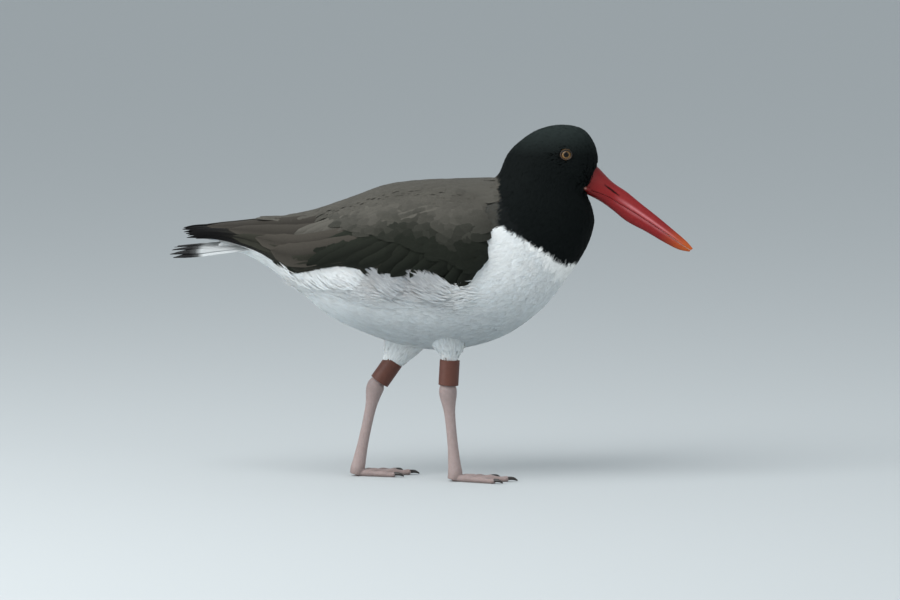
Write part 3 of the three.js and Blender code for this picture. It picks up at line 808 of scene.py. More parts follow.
@dataclass
class Markings:
    """Where the body's colours lie, from the place of a feather's root in millimetres.

    Args:
        hood_edge: x and z of the lower edge of the black hood, from its back corner to the breast.
        hood_back: x of its edge across the nape and the sides above that corner.
        mantle_edge: x and z of the lower edge of the brown back.
        belly_shade: Share by which the belly between the legs is darker.
        flank_shadow_share: Share of painted shadow in the flank beside the wing's lower edge.
        brown_beside, brown_gain: Share of the back's colour low beside the wing, and its gain to the spine.
    """

    hood_edge: Points = field(
        default_factory=lambda: np.array(
            [[45.5, 177.5], [52, 173.6], [60, 169.6], [74, 161.6], [85, 152.6], [97, 148.6], [120, 147]]
        )
    )
    hood_back: float = 44.5
    mantle_edge: Points = field(
        default_factory=lambda: np.array([[-112, 160], [-60, 166], [-20, 174], [20, 178], [44, 177]])
    )
    belly_shade: float = 0.26
    flank_shadow_share: float = 0.4
    brown_beside: float = 0.6
    brown_gain: float = 0.35

    def body(self, place: Points) -> Points:
        """Linear colours at places (..., 3)."""
        x, z = place[..., 0], place[..., 2]
        wobble = 0.9 * np.sin(0.9 * z + 0.61 * x) + 0.8 * np.sin(1.9 * x - 0.6 * z)
        wobble = wobble + 0.5 * np.sin(3.1 * x + z)
        edge = np.interp(x, self.hood_edge[:, 0], self.hood_edge[:, 1])
        below = z + wobble < edge
        in_hood = (x + 0.5 * wobble > self.hood_back) & ~below
        # Painted sheen: the hood turns lighter towards the top of the head.
        crown_sheen = between(z, 225, 244)[..., None]
        hood = Colour.HOOD * (1 - crown_sheen) + Colour.CROWN_SHEEN * crown_sheen
        shade = between(z, 88, 150)[..., None]
        white = Colour.SHADED_WHITE * (1 - shade) + Colour.WHITE * shade
        under = between(-z, -140, -105) * between(x, -85, -45) * between(-x, -85, -40)
        white = white * (1 - self.belly_shade * under)[..., None]
        # Painted shadow on the flank just below the wing's lower edge.
        flank = between(-z, -150, -132) * between(z, 118, 132)
        flank = (flank * between(x, -60, -40) * between(-x, -24, -4))[..., None]
        white = white * (1 - self.flank_shadow_share * flank) + Colour.FLANK_SHADOW * self.flank_shadow_share * flank
        low = np.interp(x, self.mantle_edge[:, 0], self.mantle_edge[:, 1])
        mantle = (z > low) & (x <= self.hood_back + 2) & (x > -110 + 1.5 * wobble) & ~in_hood
        brown = Colour.MANTLE * (self.brown_beside + self.brown_gain * between(z, 186, 204))[..., None]
        found = np.where(mantle[..., None], brown, white)
        return np.where(in_hood[..., None], hood, found)


def stagger(
    surface: Surface, span: tuple[float, float], spacing: float, along: float, rng: np.random.Generator
) -> tuple[Points, Points]:
    """Roots of feathers in staggered rows over a surface.

    Args:
        surface: The surface.
        span: First and last u.
        spacing: Distance between neighbours in a row, in millimetres.
        along: Distance between rows.
        rng: Random numbers.
    Returns:
        u and v of the roots, in rows from the first u to the last.
    """
    jitter, least_kept, stretched = 0.3, 0.15, 1.4
    us, vs = [], []
    probe = np.linspace(0.0, 1.0, 48)
    u = span[0]
    odd = 0
    while u < span[1]:
        points = surface.point(np.full_like(probe, u), probe)
        steps = np.linalg.norm(np.diff(points, axis=0), axis=1)
        reach = np.concatenate([[0], np.cumsum(steps)])
        count = max(3, int(reach[-1] / spacing))
        where = (np.arange(count) + 0.5 * odd + rng.uniform(-jitter, jitter, count)) / count
        row_v = np.interp(np.mod(where, 1) * reach[-1], reach, probe)
        rate = surface.rates(np.full(count, u), row_v)[0]
        mean_step = along / float(np.median(rate))
        keep = rng.uniform(0, 1, count) < np.clip(rate / np.median(rate), least_kept, 1.0)
        us.append((u + rng.uniform(-0.5, 0.5, count) * mean_step)[keep])
        vs.append(row_v[keep])
        wide = rate > stretched * np.median(rate)
        if wide.any():
            us.append(u + rng.uniform(0, 1, int(wide.sum())) * mean_step)
            vs.append(row_v[wide] + rng.uniform(-0.5, 0.5, int(wide.sum())) / count)
        u += mean_step
        odd = 1 - odd
    return np.concatenate(us), np.concatenate(vs)


@dataclass(frozen=True)
class CoatArea:
    """One piece of the body's coat.

    Args:
        name: The piece's name.
        finish: Its finish.
        slot: Its material slot.
        span: First and last u on the body.
        spacing, along: Distances between feathers in a row and between rows, in millimetres.
        length, half: A feather's length and half width.
        barb_spacing, barb: Distance between loose barbs and their half width.
    """

    name: str
    finish: str
    slot: str
    span: tuple[float, float]
    spacing: float
    along: float
    length: float
    half: float
    barb_spacing: float
    barb: float


@dataclass
class Body:
    """Head, neck, torso and feathered thighs: one skin, with its coat of feathers in separate pieces.

    Args:
        surface, markings: The outline of the coat and its colours.
        coat_depth, thigh_depth: How deep the skin lies under the coat, in millimetres.
        skin_cell: The size of the cells that the skin is rebuilt from, in millimetres.
        areas: The coat's pieces, from the tail forwards.
        flank_bunches: x along the wing's lower edge, and how strongly the flank feathers bunch there.
        far_bunches: The same on the far side, as a share of the near one.
        flank_tries: Roots tried on each side for the flank feathers.
        thighs: For each side rows of x, y, z and half width down the limb.
    """

    surface: BodySurface = field(default_factory=BodySurface)
    markings: Markings = field(default_factory=Markings)
    coat_depth: float = 1.8
    thigh_depth: float = 1.2
    skin_cell: float = 1.6
    areas: tuple[CoatArea, ...] = (
        CoatArea("coat_rear", "white", "plumage", (0.0, 0.27), 3.2, 3.0, 13.0, 3.3, 1.9, 0.42),
        CoatArea("coat_belly", "white", "plumage", (0.27, 0.36), 3.1, 2.9, 12.0, 3.1, 1.8, 0.4),
        CoatArea("coat_breast", "white", "plumage", (0.36, 0.45), 2.8, 2.6, 10.5, 2.8, 1.7, 0.38),
        CoatArea("coat_neck", "hood", "hood", (0.45, 0.6), 2.3, 2.2, 8.5, 2.2, 1.5, 0.32),
        CoatArea("coat_head", "hood", "hood", (0.6, 0.985), 1.55, 1.5, 5.0, 1.35, 1.15, 0.24),
    )
    flank_bunches: Points = field(
        default_factory=lambda: np.array(
            [
                [-96, 0.3],
                [-80, 0.75],
                [-64, 1.0],
                [-52, 0.75],
                [-36, 0.1],
                [-27, 0.95],
                [-14, 0.35],
                [-9, 0.3],
                [2, 1.0],
                [12, 0.55],
                [20, 0.1],
                [30, 0.0],
            ]
        )
    )
    far_bunches: float = 0.5
    flank_tries: int = 4200
    thighs: tuple[tuple[Side, Points], ...] = (
        (
            Side.RIGHT,
            np.array([[4, 17, 118, 19], [8, 16.5, 105, 14.5], [11.2, 17, 93, 10.2], [11.4, 17, 85.5, 5.6]]),
        ),
        (
            Side.LEFT,
            np.array([[-8, 15, 118, 21], [-17, 15.5, 101, 16.5], [-25, 17, 86, 10.3], [-30, 17, 77, 5.8]]),
        ),
    )

    def thigh_surface(self, side: Side, rows: Points, inset: float = 0.0) -> LimbSurface:
        """The surface of one thigh."""
        centre = rows[:, :3] * np.array([1, side.value, 1])
        size = np.stack([rows[:, 3], 0.86 * rows[:, 3]], 1) - inset
        return LimbSurface(centre, size)

    def skin(self, finish: Finish) -> bpy.types.Object:
        """One closed skin under the coat."""
        rows, around = 150, 128
        turn = np.linspace(0, 1, around, endpoint=False)
        u, v = np.meshgrid(np.linspace(0, 1, rows), turn, indexing="ij")
        data = [self.surface.point(u, v, -self.coat_depth).reshape(-1, 3)]
        faces = [grid_faces(rows, around)]
        for side, sizes in self.thighs:
            rows, around = 24, 32
            limb = self.thigh_surface(side, sizes, self.thigh_depth)
            turn = np.linspace(0, 1, around, endpoint=False)
            u, v = np.meshgrid(np.linspace(1, 0, rows), turn, indexing="ij")
            data.append(limb.point(u, v).reshape(-1, 3))
            faces.append(grid_faces(rows, around))
        parts = [MeshData(p, f, self.markings.body(p)) for p, f in zip(data, faces)]
        skin = MeshData.joined(parts).build("skin", finish.material(), "plumage")
        one_skin(skin, self.skin_cell)
        repaint(skin.data, self.markings.body(places_of(skin.data) / MM - np.array(FRAME_SHIFT)))
        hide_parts("head", "neck", "torso", "thigh_left", "thigh_right")
        return skin

    @staticmethod
    def bake_place(u: Points, v: Points) -> Points:
        """The body's unwrap: along it by u and round it by v."""
        return np.stack([0.02 + 0.7 * np.clip(u, 0, 1), 0.02 + 0.96 * np.mod(v, 1)], -1)

    def painter(
        self, rng: np.random.Generator, spread: float, along_by: float = 0.1, by_root: bool = True
    ) -> Callable[[Points, Points, Points], Points]:
        """Colours of tufts from the markings under them, each a little lighter or darker.

        Args:
            rng: Random numbers.
            spread: Share by which tufts differ.
            along_by: Share by which a root is darker than its tip.
            by_root: Whether a tuft takes its root's colour, or the colour under each of its points.
        Returns:
            The paint of a plumage.
        """

        def paint(line: Points, s: Points, across: Points) -> Points:
            """Colours from the markings, darker towards the roots."""
            base = self.markings.body(line[:, :1] if by_root else line)
            tone = 1 + rng.uniform(-spread, spread, (len(line), 1, 1))
            return (base * tone)[:, :, None, :] * (1 - along_by * (1 - s))[None, :, None, None]

        return paint

    def coat(self, finishes: dict[str, Finish], rng: np.random.Generator) -> None:
        """Grows the coat in pieces, from the tail forwards: broad feathers, then loose fine barbs."""
        for area in self.areas:
            u, v = stagger(self.surface, area.span, area.spacing, area.along, rng)
            u, v = self._kept(u, v)
            n = len(u)
            place = self.surface.point(u, v)
            small = self._near_eye(place)
            feathers = Plumage(
                Shape.SOFT, (0.5, 0.9, 1.0, 0.8, 0.25), (-1.7, -0.5, -0.15, 0.0, 0.0), 0.06, 0.28, 0.12
            )
            broad = feathers.grow(
                self.surface,
                u,
                v,
                area.length * small * rng.uniform(0.85, 1.15, n),
                area.half * small * rng.uniform(0.85, 1.15, n),
                rng.normal(0, 0.12, n),
                self.painter(rng, 0.045, 0.06, by_root=False),
                self.bake_place,
                lift=rng.uniform(-0.15, 0.15, n),
                roll=rng.normal(0, 0.03, n),
            )
            bu, bv = stagger(self.surface, area.span, area.barb_spacing, area.barb_spacing * 1.3, rng)
            bu, bv = self._kept(bu, bv)
            m = len(bu)
            small = self._near_eye(self.surface.point(bu, bv))
            barbs = Plumage(Shape.BARB, (0.7, 1.0, 0.15), (-0.7, 0.0, 0.1), 0.0, 0.22, 0.12)
            fine = barbs.grow(
                self.surface,
                bu,
                bv,
                area.length * 0.62 * small * rng.uniform(0.6, 1.3, m),
                area.barb * small * rng.uniform(0.8, 1.2, m),
                rng.normal(0, 0.2, m),
                self.painter(rng, 0.05, 0.06, by_root=False),
                self.bake_place,
                lift=rng.uniform(-0.15, 0.2, m),
            )
            data = MeshData.joined([broad, fine])
            piece = data.build(area.name, finishes[area.finish].material(), area.slot)
            log.info("%s: %d feathers, %d barbs, %d triangles", piece.name, n, m, len(data.faces))
        self._mantle(finishes["vane"], rng)
        self._thigh_coats(finishes["white"], rng)
        self._flank_feathers(finishes["white"], rng)
        self._tail_coverts(finishes["white"], rng)

    def _mantle(self, finish: Finish, rng: np.random.Generator) -> None:
        """Rounded feathers of the back, from one wing to the other."""
        back = BackSurface()
        u, v = stagger(back, (0.02, 0.99), 4.4, 4.0, rng)
        n = len(u)

        def paint(line: Points, s: Points, across: Points) -> Points:
            """The back's brown, each feather with its own tone and a pale fringe."""
            tone = rng.uniform(0.94, 1.06, (len(line), 1))
            return (Colour.MANTLE * tone)[:, None, None, :] * pale_fringe(s, across)[None, :, :, None]

        plumage = Plumage(
            Shape.VANE, (0.5, 0.85, 1.0, 0.97, 0.8, 0.3), (-1.4, -0.2, 0.4, 0.6, 0.6, 0.4), 0.1, 0.3, 0.2
        )
        data = plumage.grow(
            back,
            u,
            v,
            rng.uniform(12, 16, n),
            rng.uniform(3.2, 4.2, n),
            rng.normal(0, 0.07, n),
            paint,
            lambda a, b: np.stack([0.02 + 0.7 * np.clip(a, 0, 1), 0.9 + 0.08 * np.clip(b, 0, 1)], -1),
            lift=rng.uniform(-0.15, 0.2, n),
        )
        data.build("coat_mantle", finish.material(), "plumage")
        log.info("coat_mantle: %d triangles", len(data.faces))

    def _near_eye(self, place: Points) -> Points:
        """Shares by which feathers are smaller near the eyes and the bill."""
        bill_root, least = (111, 206), 0.4
        eye = np.hypot(place[:, 0] - Eye.x, place[:, 2] - Eye.z)
        eye = np.where(np.abs(place[:, 1]) > 8, np.clip(0.3 + eye / 16, least, 1), 1)
        face = np.hypot(place[:, 0] - bill_root[0], place[:, 2] - bill_root[1])
        face = np.clip(0.35 + face / 22, least, 1)
        return np.minimum(eye, face)

    def _kept(self, u: Points, v: Points) -> tuple[Points, Points]:
        """Leaves out roots on the eyes, at the corners of the mouth and deep under the wings."""
        eye_lap, mouth, mouth_half = 0.2, (105.6, 201.4), (4.0, 2.3)
        under_edge, wing_from, wing_to = 9, -150, 28
        place = self.surface.point(u, v)
        x, z = place[:, 0], place[:, 2]
        far = np.hypot(x - Eye.x, z - Eye.z)
        keep = ~((far < Eye.ring_outer - eye_lap) & (np.abs(place[:, 1]) > 5))
        beside = np.hypot((x - mouth[0]) / mouth_half[0], (z - mouth[1]) / mouth_half[1])
        keep &= ~((beside < 1) & (np.abs(place[:, 1]) > 3))
        wing = WingSurface()
        top = np.interp(-x, -wing.upper[:, 0], wing.upper[:, 2])
        low = np.interp(-x, -wing.lower[:, 0], wing.lower[:, 2])
        keep &= ~((z < top - under_edge) & (z > low + under_edge) & (x < wing_to) & (x > wing_from))
        return u[keep], v[keep]

    def _flank_feathers(self, finish: Finish, rng: np.random.Generator) -> None:
        """Long loose feathers of the flanks, in bunches that lie over the wing's lower edge."""
        first, last = -96, 30
        deepest, fade, over_wing, bunched_from = 19, 15, 10.5, 0.38
        parts = []
        wing = WingSurface()
        for side in Side:
            n = self.flank_tries
            x = rng.uniform(first, last, n)
            x = x[rng.uniform(0, 1, n) < np.interp(x, [first, -78, 14, last], [0.1, 1, 1, 0.1])]
            n = len(x)
            low = np.interp(-x, -wing.lower[:, 0], wing.lower[:, 2])
            loose = 1.0 if side is Side.RIGHT else self.far_bunches
            bunch = loose * np.interp(x, self.flank_bunches[:, 0], self.flank_bunches[:, 1])
            drop = deepest * rng.uniform(0, 1, n) ** 1.3
            near = np.sqrt(np.clip(1 - drop / fade, 0, 1))
            u = self._along(x)
            v = self._around(u, low - drop, side)
            # Painted shadow among the bunches, strongest on the near side.
            bunch_shadow = np.clip(0.85 * loose**2 * between(x, -48, -30) * between(-x, -22, -8) * near, 0, 1)
            bunch_shadow = np.clip(bunch_shadow + rng.normal(0, 0.1, n) * (bunch_shadow > 0.1), 0, 0.85)[:, None]
            under = self.markings.body(self.surface.point(u, v))
            base = Colour.WHITE * near[:, None] + under * (1 - near[:, None])
            base = base * (1 - bunch_shadow) + Colour.FLANK_SHADOW * bunch_shadow
            length = (9 + 13 * bunch * near) * rng.uniform(0.7, 1.2, n)
            half = rng.uniform(0.3, 0.65, n)
            most = np.arcsin(np.clip((over_wing + drop) / length, 0, 0.95))
            swing = -side.value * np.minimum(0.25 + 0.8 * bunch * near + rng.normal(0, 0.17, n), most)
            lift = 9.5 * near * (0.3 + 0.7 * bunch) + rng.uniform(-0.3, 0.6, n)
            over = bunch * near > bunched_from
            loose_rise, flat_rise, loose_less = (-0.6, 4.2, 6.4, 6.6), (-0.8, 0.3, 0.7, 0.8), 5.5
            for chosen, rise, less in ((over, loose_rise, loose_less), (~over, flat_rise, 0.0)):
                own = base[chosen]

                def paint(line: Points, s: Points, across: Points, own: Points = own) -> Points:
                    """Each feather's own colour, a little darker at its root."""
                    return own[:, None, None, :] * (0.94 + 0.06 * s)[None, :, None, None]

                parts.append(
                    Plumage(Shape.BARB, (0.8, 1.0, 0.75, 0.12), rise, 0.0, 0.3, 0.15).grow(
                        self.surface,
                        u[chosen],
                        v[chosen],
                        length[chosen],
                        half[chosen],
                        swing[chosen],
                        paint,
                        self.bake_place,
                        lift=lift[chosen] - less,
                    )
                )
        data = MeshData.joined(parts)
        data.build("coat_flank", finish.material(), "plumage")
        log.info("coat_flank: %d triangles", len(data.faces))

    def _along(self, x: Points) -> Points:
        """u of the ribs whose middle lies at x."""
        u = np.linspace(0, 1, 400)
        rib = smooth_rows(self.surface.ribs, u)
        return np.interp(x, (rib[:, 0] + rib[:, 2]) / 2, u)

    def _around(self, u: Points, z: Points, side: Side) -> Points:
        """v on one side of the body at height z."""
        rib = smooth_rows(self.surface.ribs, u)
        middle, half = (rib[:, 1] + rib[:, 3]) / 2, (rib[:, 1] - rib[:, 3]) / 2
        rise = np.clip((z - middle) / half, -0.98, 0.98)
        turn = np.arccos(np.sign(rise) * np.abs(rise) ** (self.surface.roundness / 2)) / (2 * np.pi)
        return turn if side is Side.LEFT else 1 - turn

    def _tail_coverts(self, finish: Finish, rng: np.random.Generator) -> None:
        """White coverts that lie over and under the bases of the tail feathers."""
        parts = []
        for above, count in ((True, 46), (False, 60)):
            v = rng.uniform(-0.13, 0.13, count) + (0.0 if above else 0.5)
            u = rng.uniform(0.004, 0.07, count)
            plumage = Plumage(
                Shape.VANE, (0.5, 0.85, 1.0, 0.95, 0.7, 0.15), (-1.0, 0.1, 0.3, 0.3, 0.2, 0.0), 0.1, 0.4
            )

            def paint(line: Points, s: Points, across: Points) -> Points:
                """White, each feather with its own tone."""
                tone = rng.uniform(0.94, 1.04, (len(line), 1))
                return (Colour.WHITE * tone)[:, None, None, :] * (0.9 + 0.1 * s)[None, :, None, None]

            parts.append(
                plumage.grow(
                    self.surface,
                    u,
                    np.mod(v, 1),
                    rng.uniform(20, 32, count) * (0.85 if above else 1.05),
                    rng.uniform(2.4, 3.4, count),
                    rng.normal(0, 0.05, count),
                    paint,
                    self.bake_place,
                )
            )
        data = MeshData.joined(parts)
        data.build("coat_tail_coverts", finish.material(), "plumage")

    def _thigh_coats(self, finish: Finish, rng: np.random.Generator) -> None:
        """Short fluffy feathers on the thighs, pointing down the leg."""
        white_from, white_to, length, half = 100, 86, 7.5, 0.9
        for side, rows in self.thighs:
            limb = self.thigh_surface(side, rows)
            u, v = stagger(limb, (0.1, 0.8), 1.5, 1.8, rng)
            n = len(u)

            def paint(line: Points, s: Points, across: Points) -> Points:
                """The belly's shade above, turning white down the limb."""
                low = between(-line[..., 2:], -white_from, -white_to)
                base = self.markings.body(line) * (1 - low) + 0.95 * Colour.WHITE * low
                tone = rng.uniform(0.96, 1.04, (len(line), 1, 1))
                return (base * tone)[:, :, None, :] * (0.94 + 0.06 * s)[None, :, None, None]

            plumage = Plumage(Shape.SOFT, (0.55, 1.0, 0.85, 0.3), (-1.2, -0.1, 0.1, 0.1), 0.06, 0.3)
            data = plumage.grow(
                limb,
                u,
                v,
                length * rng.uniform(0.75, 1.2, n) * np.clip(0.4 + u, 0.45, 1),
                half * rng.uniform(0.8, 1.2, n),
                rng.normal(0, 0.15, n),
                paint,
                lambda a, b: np.stack([0.76 + 0.2 * np.clip(a, 0, 1), 0.02 + 0.96 * np.mod(b, 1)], -1),
                lift=rng.uniform(-0.2, 0.5, n),
            )
            data.build(f"coat_thigh_{side.name.lower()}", finish.material(), "plumage")


# Wings and tail


@dataclass(frozen=True)
class Tier:
    """A row of feathers on the wing. Places are (station, share from the upper to the lower edge).

    Args:
        name: What the feathers are.
        count: How many.
        root, root_to: Roots of the first and the last.
        tip, tip_to: Tips of the first and the last.
        width: Full width in millimetres.
        lift: Height over the wing's sheet in millimetres.
        colour, tip_colour: Colours near the shaft's root and at the tip.
        fringe: How much paler the edges are.
        pointed: Whether the tips are narrow, with every second feather shorter.
    """

    name: str
    count: int
    root: tuple[float, float]
    root_to: tuple[float, float]
    tip: tuple[float, float]
    tip_to: tuple[float, float]
    width: float
    lift: float
    colour: np.ndarray
    tip_colour: np.ndarray
    fringe: float = 0.18
    pointed: bool = False


@dataclass
class Wing:
    """One folded wing: overlapping vanes in tiers, with shafts, over a thin fleshy core.

    Args:
        side: Which wing.
        core_end: The station where the core ends.
        vane_steps: Steps along a long feather.
        vane_thick, vane_camber: Thickness at the shaft, and how far the edges lie below it as a share.
        tip_scatter: How far tips stray, in stations and in shares.
        cover_from: Share of the sheet at its upper edge that the small feathers leave free.
        cover_limit: Stations, and the share of the sheet that the small feathers reach down to there.
        brown_line: x and z of the line where the back's brown gives way to the dark coverts.
        tiers: The rows of long feathers, from the lowest to the uppermost.
    """

    side: Side
    core_end: float = 6.4
    vane_steps: int = 16
    vane_thick: float = 0.7
    vane_camber: float = 0.13
    tip_scatter: tuple[float, float] = (0.05, 0.008)
    cover_from: float = 0.055
    cover_limit: tuple[tuple[float, ...], tuple[float, ...]] = (
        (0, 1, 2, 3, 4, 4.6),
        (0.92, 0.72, 0.62, 0.5, 0.3, 0.1),
    )
    brown_line: tuple[tuple[float, ...], tuple[float, ...]] = (
        (-76, -57, -38, -21, -6.5, 19, 40),
        (180, 179, 175, 179, 183, 174, 179),
    )
    tiers: tuple[Tier, ...] = (
        Tier("primary", 6, (4.6, 0.4), (4.6, 0.86), (9.05, 0.0), (8.95, 0.95), 7, -0.6,
             Colour.SECONDARY * 0.9, Colour.PRIMARY, 0.1, True),
        Tier("secondary", 9, (3.4, 0.5), (2.4, 0.84), (7.45, 0.6), (5.0, 0.92), 11, 0.3,
             Colour.SECONDARY, Colour.SECONDARY * 1.15),
        Tier("tertial", 4, (2.6, 0.2), (3.0, 0.62), (7.8, 0.07), (6.3, 0.68), 17, 1.3,
             Colour.TERTIAL, Colour.TERTIAL * 1.1),
        Tier("greater_covert", 10, (0.4, 0.72), (3.4, 0.5), (1.1, 0.98), (4.9, 0.82), 11.5, 1.9,
             Colour.COVERT, Colour.COVERT * 0.95),
        Tier("median_covert", 12, (0.3, 0.54), (3.3, 0.4), (1.1, 0.82), (4.7, 0.62), 11, 2.3,
             Colour.COVERT, Colour.COVERT),
        Tier("scapular", 11, (0.5, 0.28), (3.0, 0.17), (2.3, 0.5), (5.5, 0.33), 14, 2.8,
             Colour.MANTLE * 0.95, Colour.MANTLE * 0.9, 0.1),
    )

    def __post_init__(self) -> None:
        """Lays out the sheet that the feathers lie on."""
        self.surface = WingSurface(self.side)

    def bake_place(self, u: Points, v: Points) -> Points:
        """The wing's unwrap, one half of the map to each side."""
        start = 0.02 if self.side is Side.LEFT else 0.52
        return np.stack([0.02 + 0.96 * np.clip(u, 0, 1), start + 0.46 * np.clip(v, 0, 1)], -1)

    def vanes(self, tier: Tier, rng: np.random.Generator) -> MeshData:
        """The long feathers of one tier."""
        n = tier.count
        f = np.linspace(0, 1, n)[:, None]
        root = np.array(tier.root) * (1 - f) + np.array(tier.root_to) * f
        tip = np.array(tier.tip) * (1 - f) + np.array(tier.tip_to) * f
        tip = tip + rng.normal(0, 1, (n, 2)) * self.tip_scatter
        steps = self.vane_steps
        s = np.linspace(0, 1, steps)
        profile = np.interp(s, [0, 0.12, 0.3, 0.8, 0.93, 1], [0.4, 0.8, 1, 0.9, 0.6, 0.06])
        if tier.pointed:
            profile = np.interp(s, [0, 0.12, 0.3, 0.72, 0.9, 1], [0.4, 0.8, 1, 0.72, 0.4, 0.05])
            tip[1::2, 0] -= 0.3
        station = root[:, :1] * (1 - s) + tip[:, :1] * s
        share = root[:, 1:] * (1 - s) + tip[:, 1:] * s
        u, v = 1 - station / LAST_STATION, share
        centre = self.surface.point(u, v)
        normal = self.surface.normal(u, v)
        along = unit(np.gradient(centre, axis=1))
        side = unit(np.cross(along, normal))
        side = unit(side * self.side.value - 0.2 * normal)
        normal = unit(np.cross(side, along) * self.side.value)
        normal = np.where(np.sum(normal * self.surface.normal(u, v), -1, keepdims=True) < 0, -normal, normal)
        rise = tier.lift - 3.2 * (1 - np.clip(s / 0.22, 0, 1)) - 0.8 * np.clip(s - 0.6, 0, 1)
        rise = rise[None] - 0.7 * tier.lift * (1 - between(share, 0.05, 0.4))
        rise = rise + rng.uniform(-0.15, 0.15, (n, 1))
        section = np.array(Shape.VANE.value, float)
        across, up = section[:, 0], section[:, 1]
        half = tier.width / 2 * profile[None, :] * rng.uniform(0.93, 1.07, (n, 1))
        ragged = 1 + 0.03 * rng.normal(0, 1, (n, steps, 1)) * (np.abs(across) > 0.9)
        out = up * self.vane_thick * np.linspace(1, 0.5, steps)[:, None]
        out = out + rise[..., None] - self.vane_camber * half[..., None] * across**2
        verts = (
            centre[:, :, None]
            + side[:, :, None] * (half[..., None] * across * ragged)[..., None]
            + normal[:, :, None] * out[..., None]
        )
        k = len(across)
        tone = rng.uniform(0.9, 1.1, (n, 1, 1, 1))
        reach = between(s, 0.55, 0.75 if tier.pointed else 1.0)[None, :, None, None]
        colour = tier.colour * (1 - reach) + tier.tip_colour * reach
        edge = between(np.abs(across), 0.7, 1.0)[None, None, :, None]
        shaft = (np.abs(across) < 0.1)[None, None, :, None]
        colour = colour * (1 + tier.fringe * edge) * np.where(shaft, 0.75, 1.0) * tone
        colour = np.broadcast_to(colour, (n, steps, k, 3))
        own = np.broadcast_to(vane_map(s, across)[None], (n, steps, k, 2))
        maps = self.bake_place(u[:, :1], v[:, :1])[:, :, None, :] + (own - 0.5) * PATCH * 2
        facing = Shape.VANE.facing()[None, None, :, None]
        lit = unit(normal[:, :, None, :] * facing + side[:, :, None, :] * (0.3 * across)[None, None, :, None])
        return MeshData(
            verts.reshape(-1, 3),
            repeated(grid_faces(steps, k), n, steps * k),
            colour.reshape(-1, 3),
            maps.reshape(-1, 2),
            own.reshape(-1, 2),
            lit.reshape(-1, 3),
        )

    def small_feathers(self, rng: np.random.Generator) -> MeshData:
        """Rounded lesser coverts and mantle feathers that cover the roots of the tiers."""
        u, v = stagger(self.surface, (0.5, 0.985), 4.4, 4.2, rng)
        station = LAST_STATION * (1 - u)
        limit = np.interp(station, *self.cover_limit)
        keep = (v > self.cover_from) & (v < limit)
        u, v = u[keep], v[keep]
        n = len(u)
        place = self.surface.point(u, v)
        line = np.interp(place[:, 0], *self.brown_line)
        light = between(place[:, 2] - line + rng.normal(0, 1.6, n), -10, 10)[:, None]
        base = Colour.MANTLE * light + Colour.COVERT * (1 - light)

        def paint(line: Points, s: Points, across: Points) -> Points:
            """The feather's own colour in soft patches, with a pale fringe."""
            root = line[:, 0]
            patches = 1 + 0.07 * np.sin(root[:, :1] / 7 + 1) * np.sin(root[:, 2:] / 5)
            tone = patches * rng.uniform(0.94, 1.06, (len(root), 1))
            return (base * tone)[:, None, None, :] * pale_fringe(s, across)[None, :, :, None]

        plumage = Plumage(
            Shape.VANE, (0.5, 0.85, 1.0, 0.97, 0.8, 0.3), (0.2, 2.2, 3.2, 3.5, 3.5, 3.3), 0.07, 0.3
        )
        return plumage.grow(
            self.surface,
            u,
            v,
            rng.uniform(13, 18, n),
            rng.uniform(3.4, 4.4, n),
            rng.normal(0.06, 0.07, n),
            paint,
            self.bake_place,
            lift=rng.uniform(-0.15, 0.2, n) - 5.5 * (1 - between(v, 0.04, 0.32)),
            roll=-self.side.value * 0.22 * (1 - between(v, 0.04, 0.2)) + rng.normal(0, 0.03, n),
        )

    def core(self) -> MeshData:
        """The fleshy wing under its feathers."""
        rows, across = 40, 20
        u = 1 - np.linspace(0, self.core_end, rows)[:, None] / LAST_STATION
        v = np.linspace(0, 1, across)[None, :]
        u, v = np.broadcast_arrays(u, v)
        place, normal = self.surface.point(u, v), self.surface.normal(u, v)
        edge = np.sin(np.pi * (0.12 + 0.76 * v))[..., None]
        outer = place + normal * (0.6 * edge - 1.0)
        inner = place - normal * (1.6 + 4.5 * edge * (1 - 0.5 * np.linspace(0, 1, rows)[:, None, None]))
        rings = np.concatenate([outer, inner[:, ::-1]], axis=1)
        verts = rings.reshape(-1, 3)
        flat = np.broadcast_to(Colour.COVERT, verts.shape)
        ring_u = np.concatenate([u, u[:, ::-1]], axis=1).ravel()
        ring_v = np.concatenate([v, v[:, ::-1]], axis=1).ravel()
        lit = np.concatenate([normal, -normal], axis=1).reshape(-1, 3)
        return MeshData(verts, grid_faces(rows, 2 * across), flat, self.bake_place(ring_u, ring_v), None, lit)

    def build(self, finish: Finish, rng: np.random.Generator) -> None:
        """Builds the wing's piece."""
        parts = [self.core()] + [self.vanes(tier, rng) for tier in self.tiers] + [self.small_feathers(rng)]
        data = MeshData.joined(parts)
        name = self.side.name.lower()
        piece = data.build(f"feathers_wing_{name}", finish.material(), "wing")
        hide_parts(f"wing_{name}")
        log.info("%s: %d triangles", piece.name, len(data.faces))


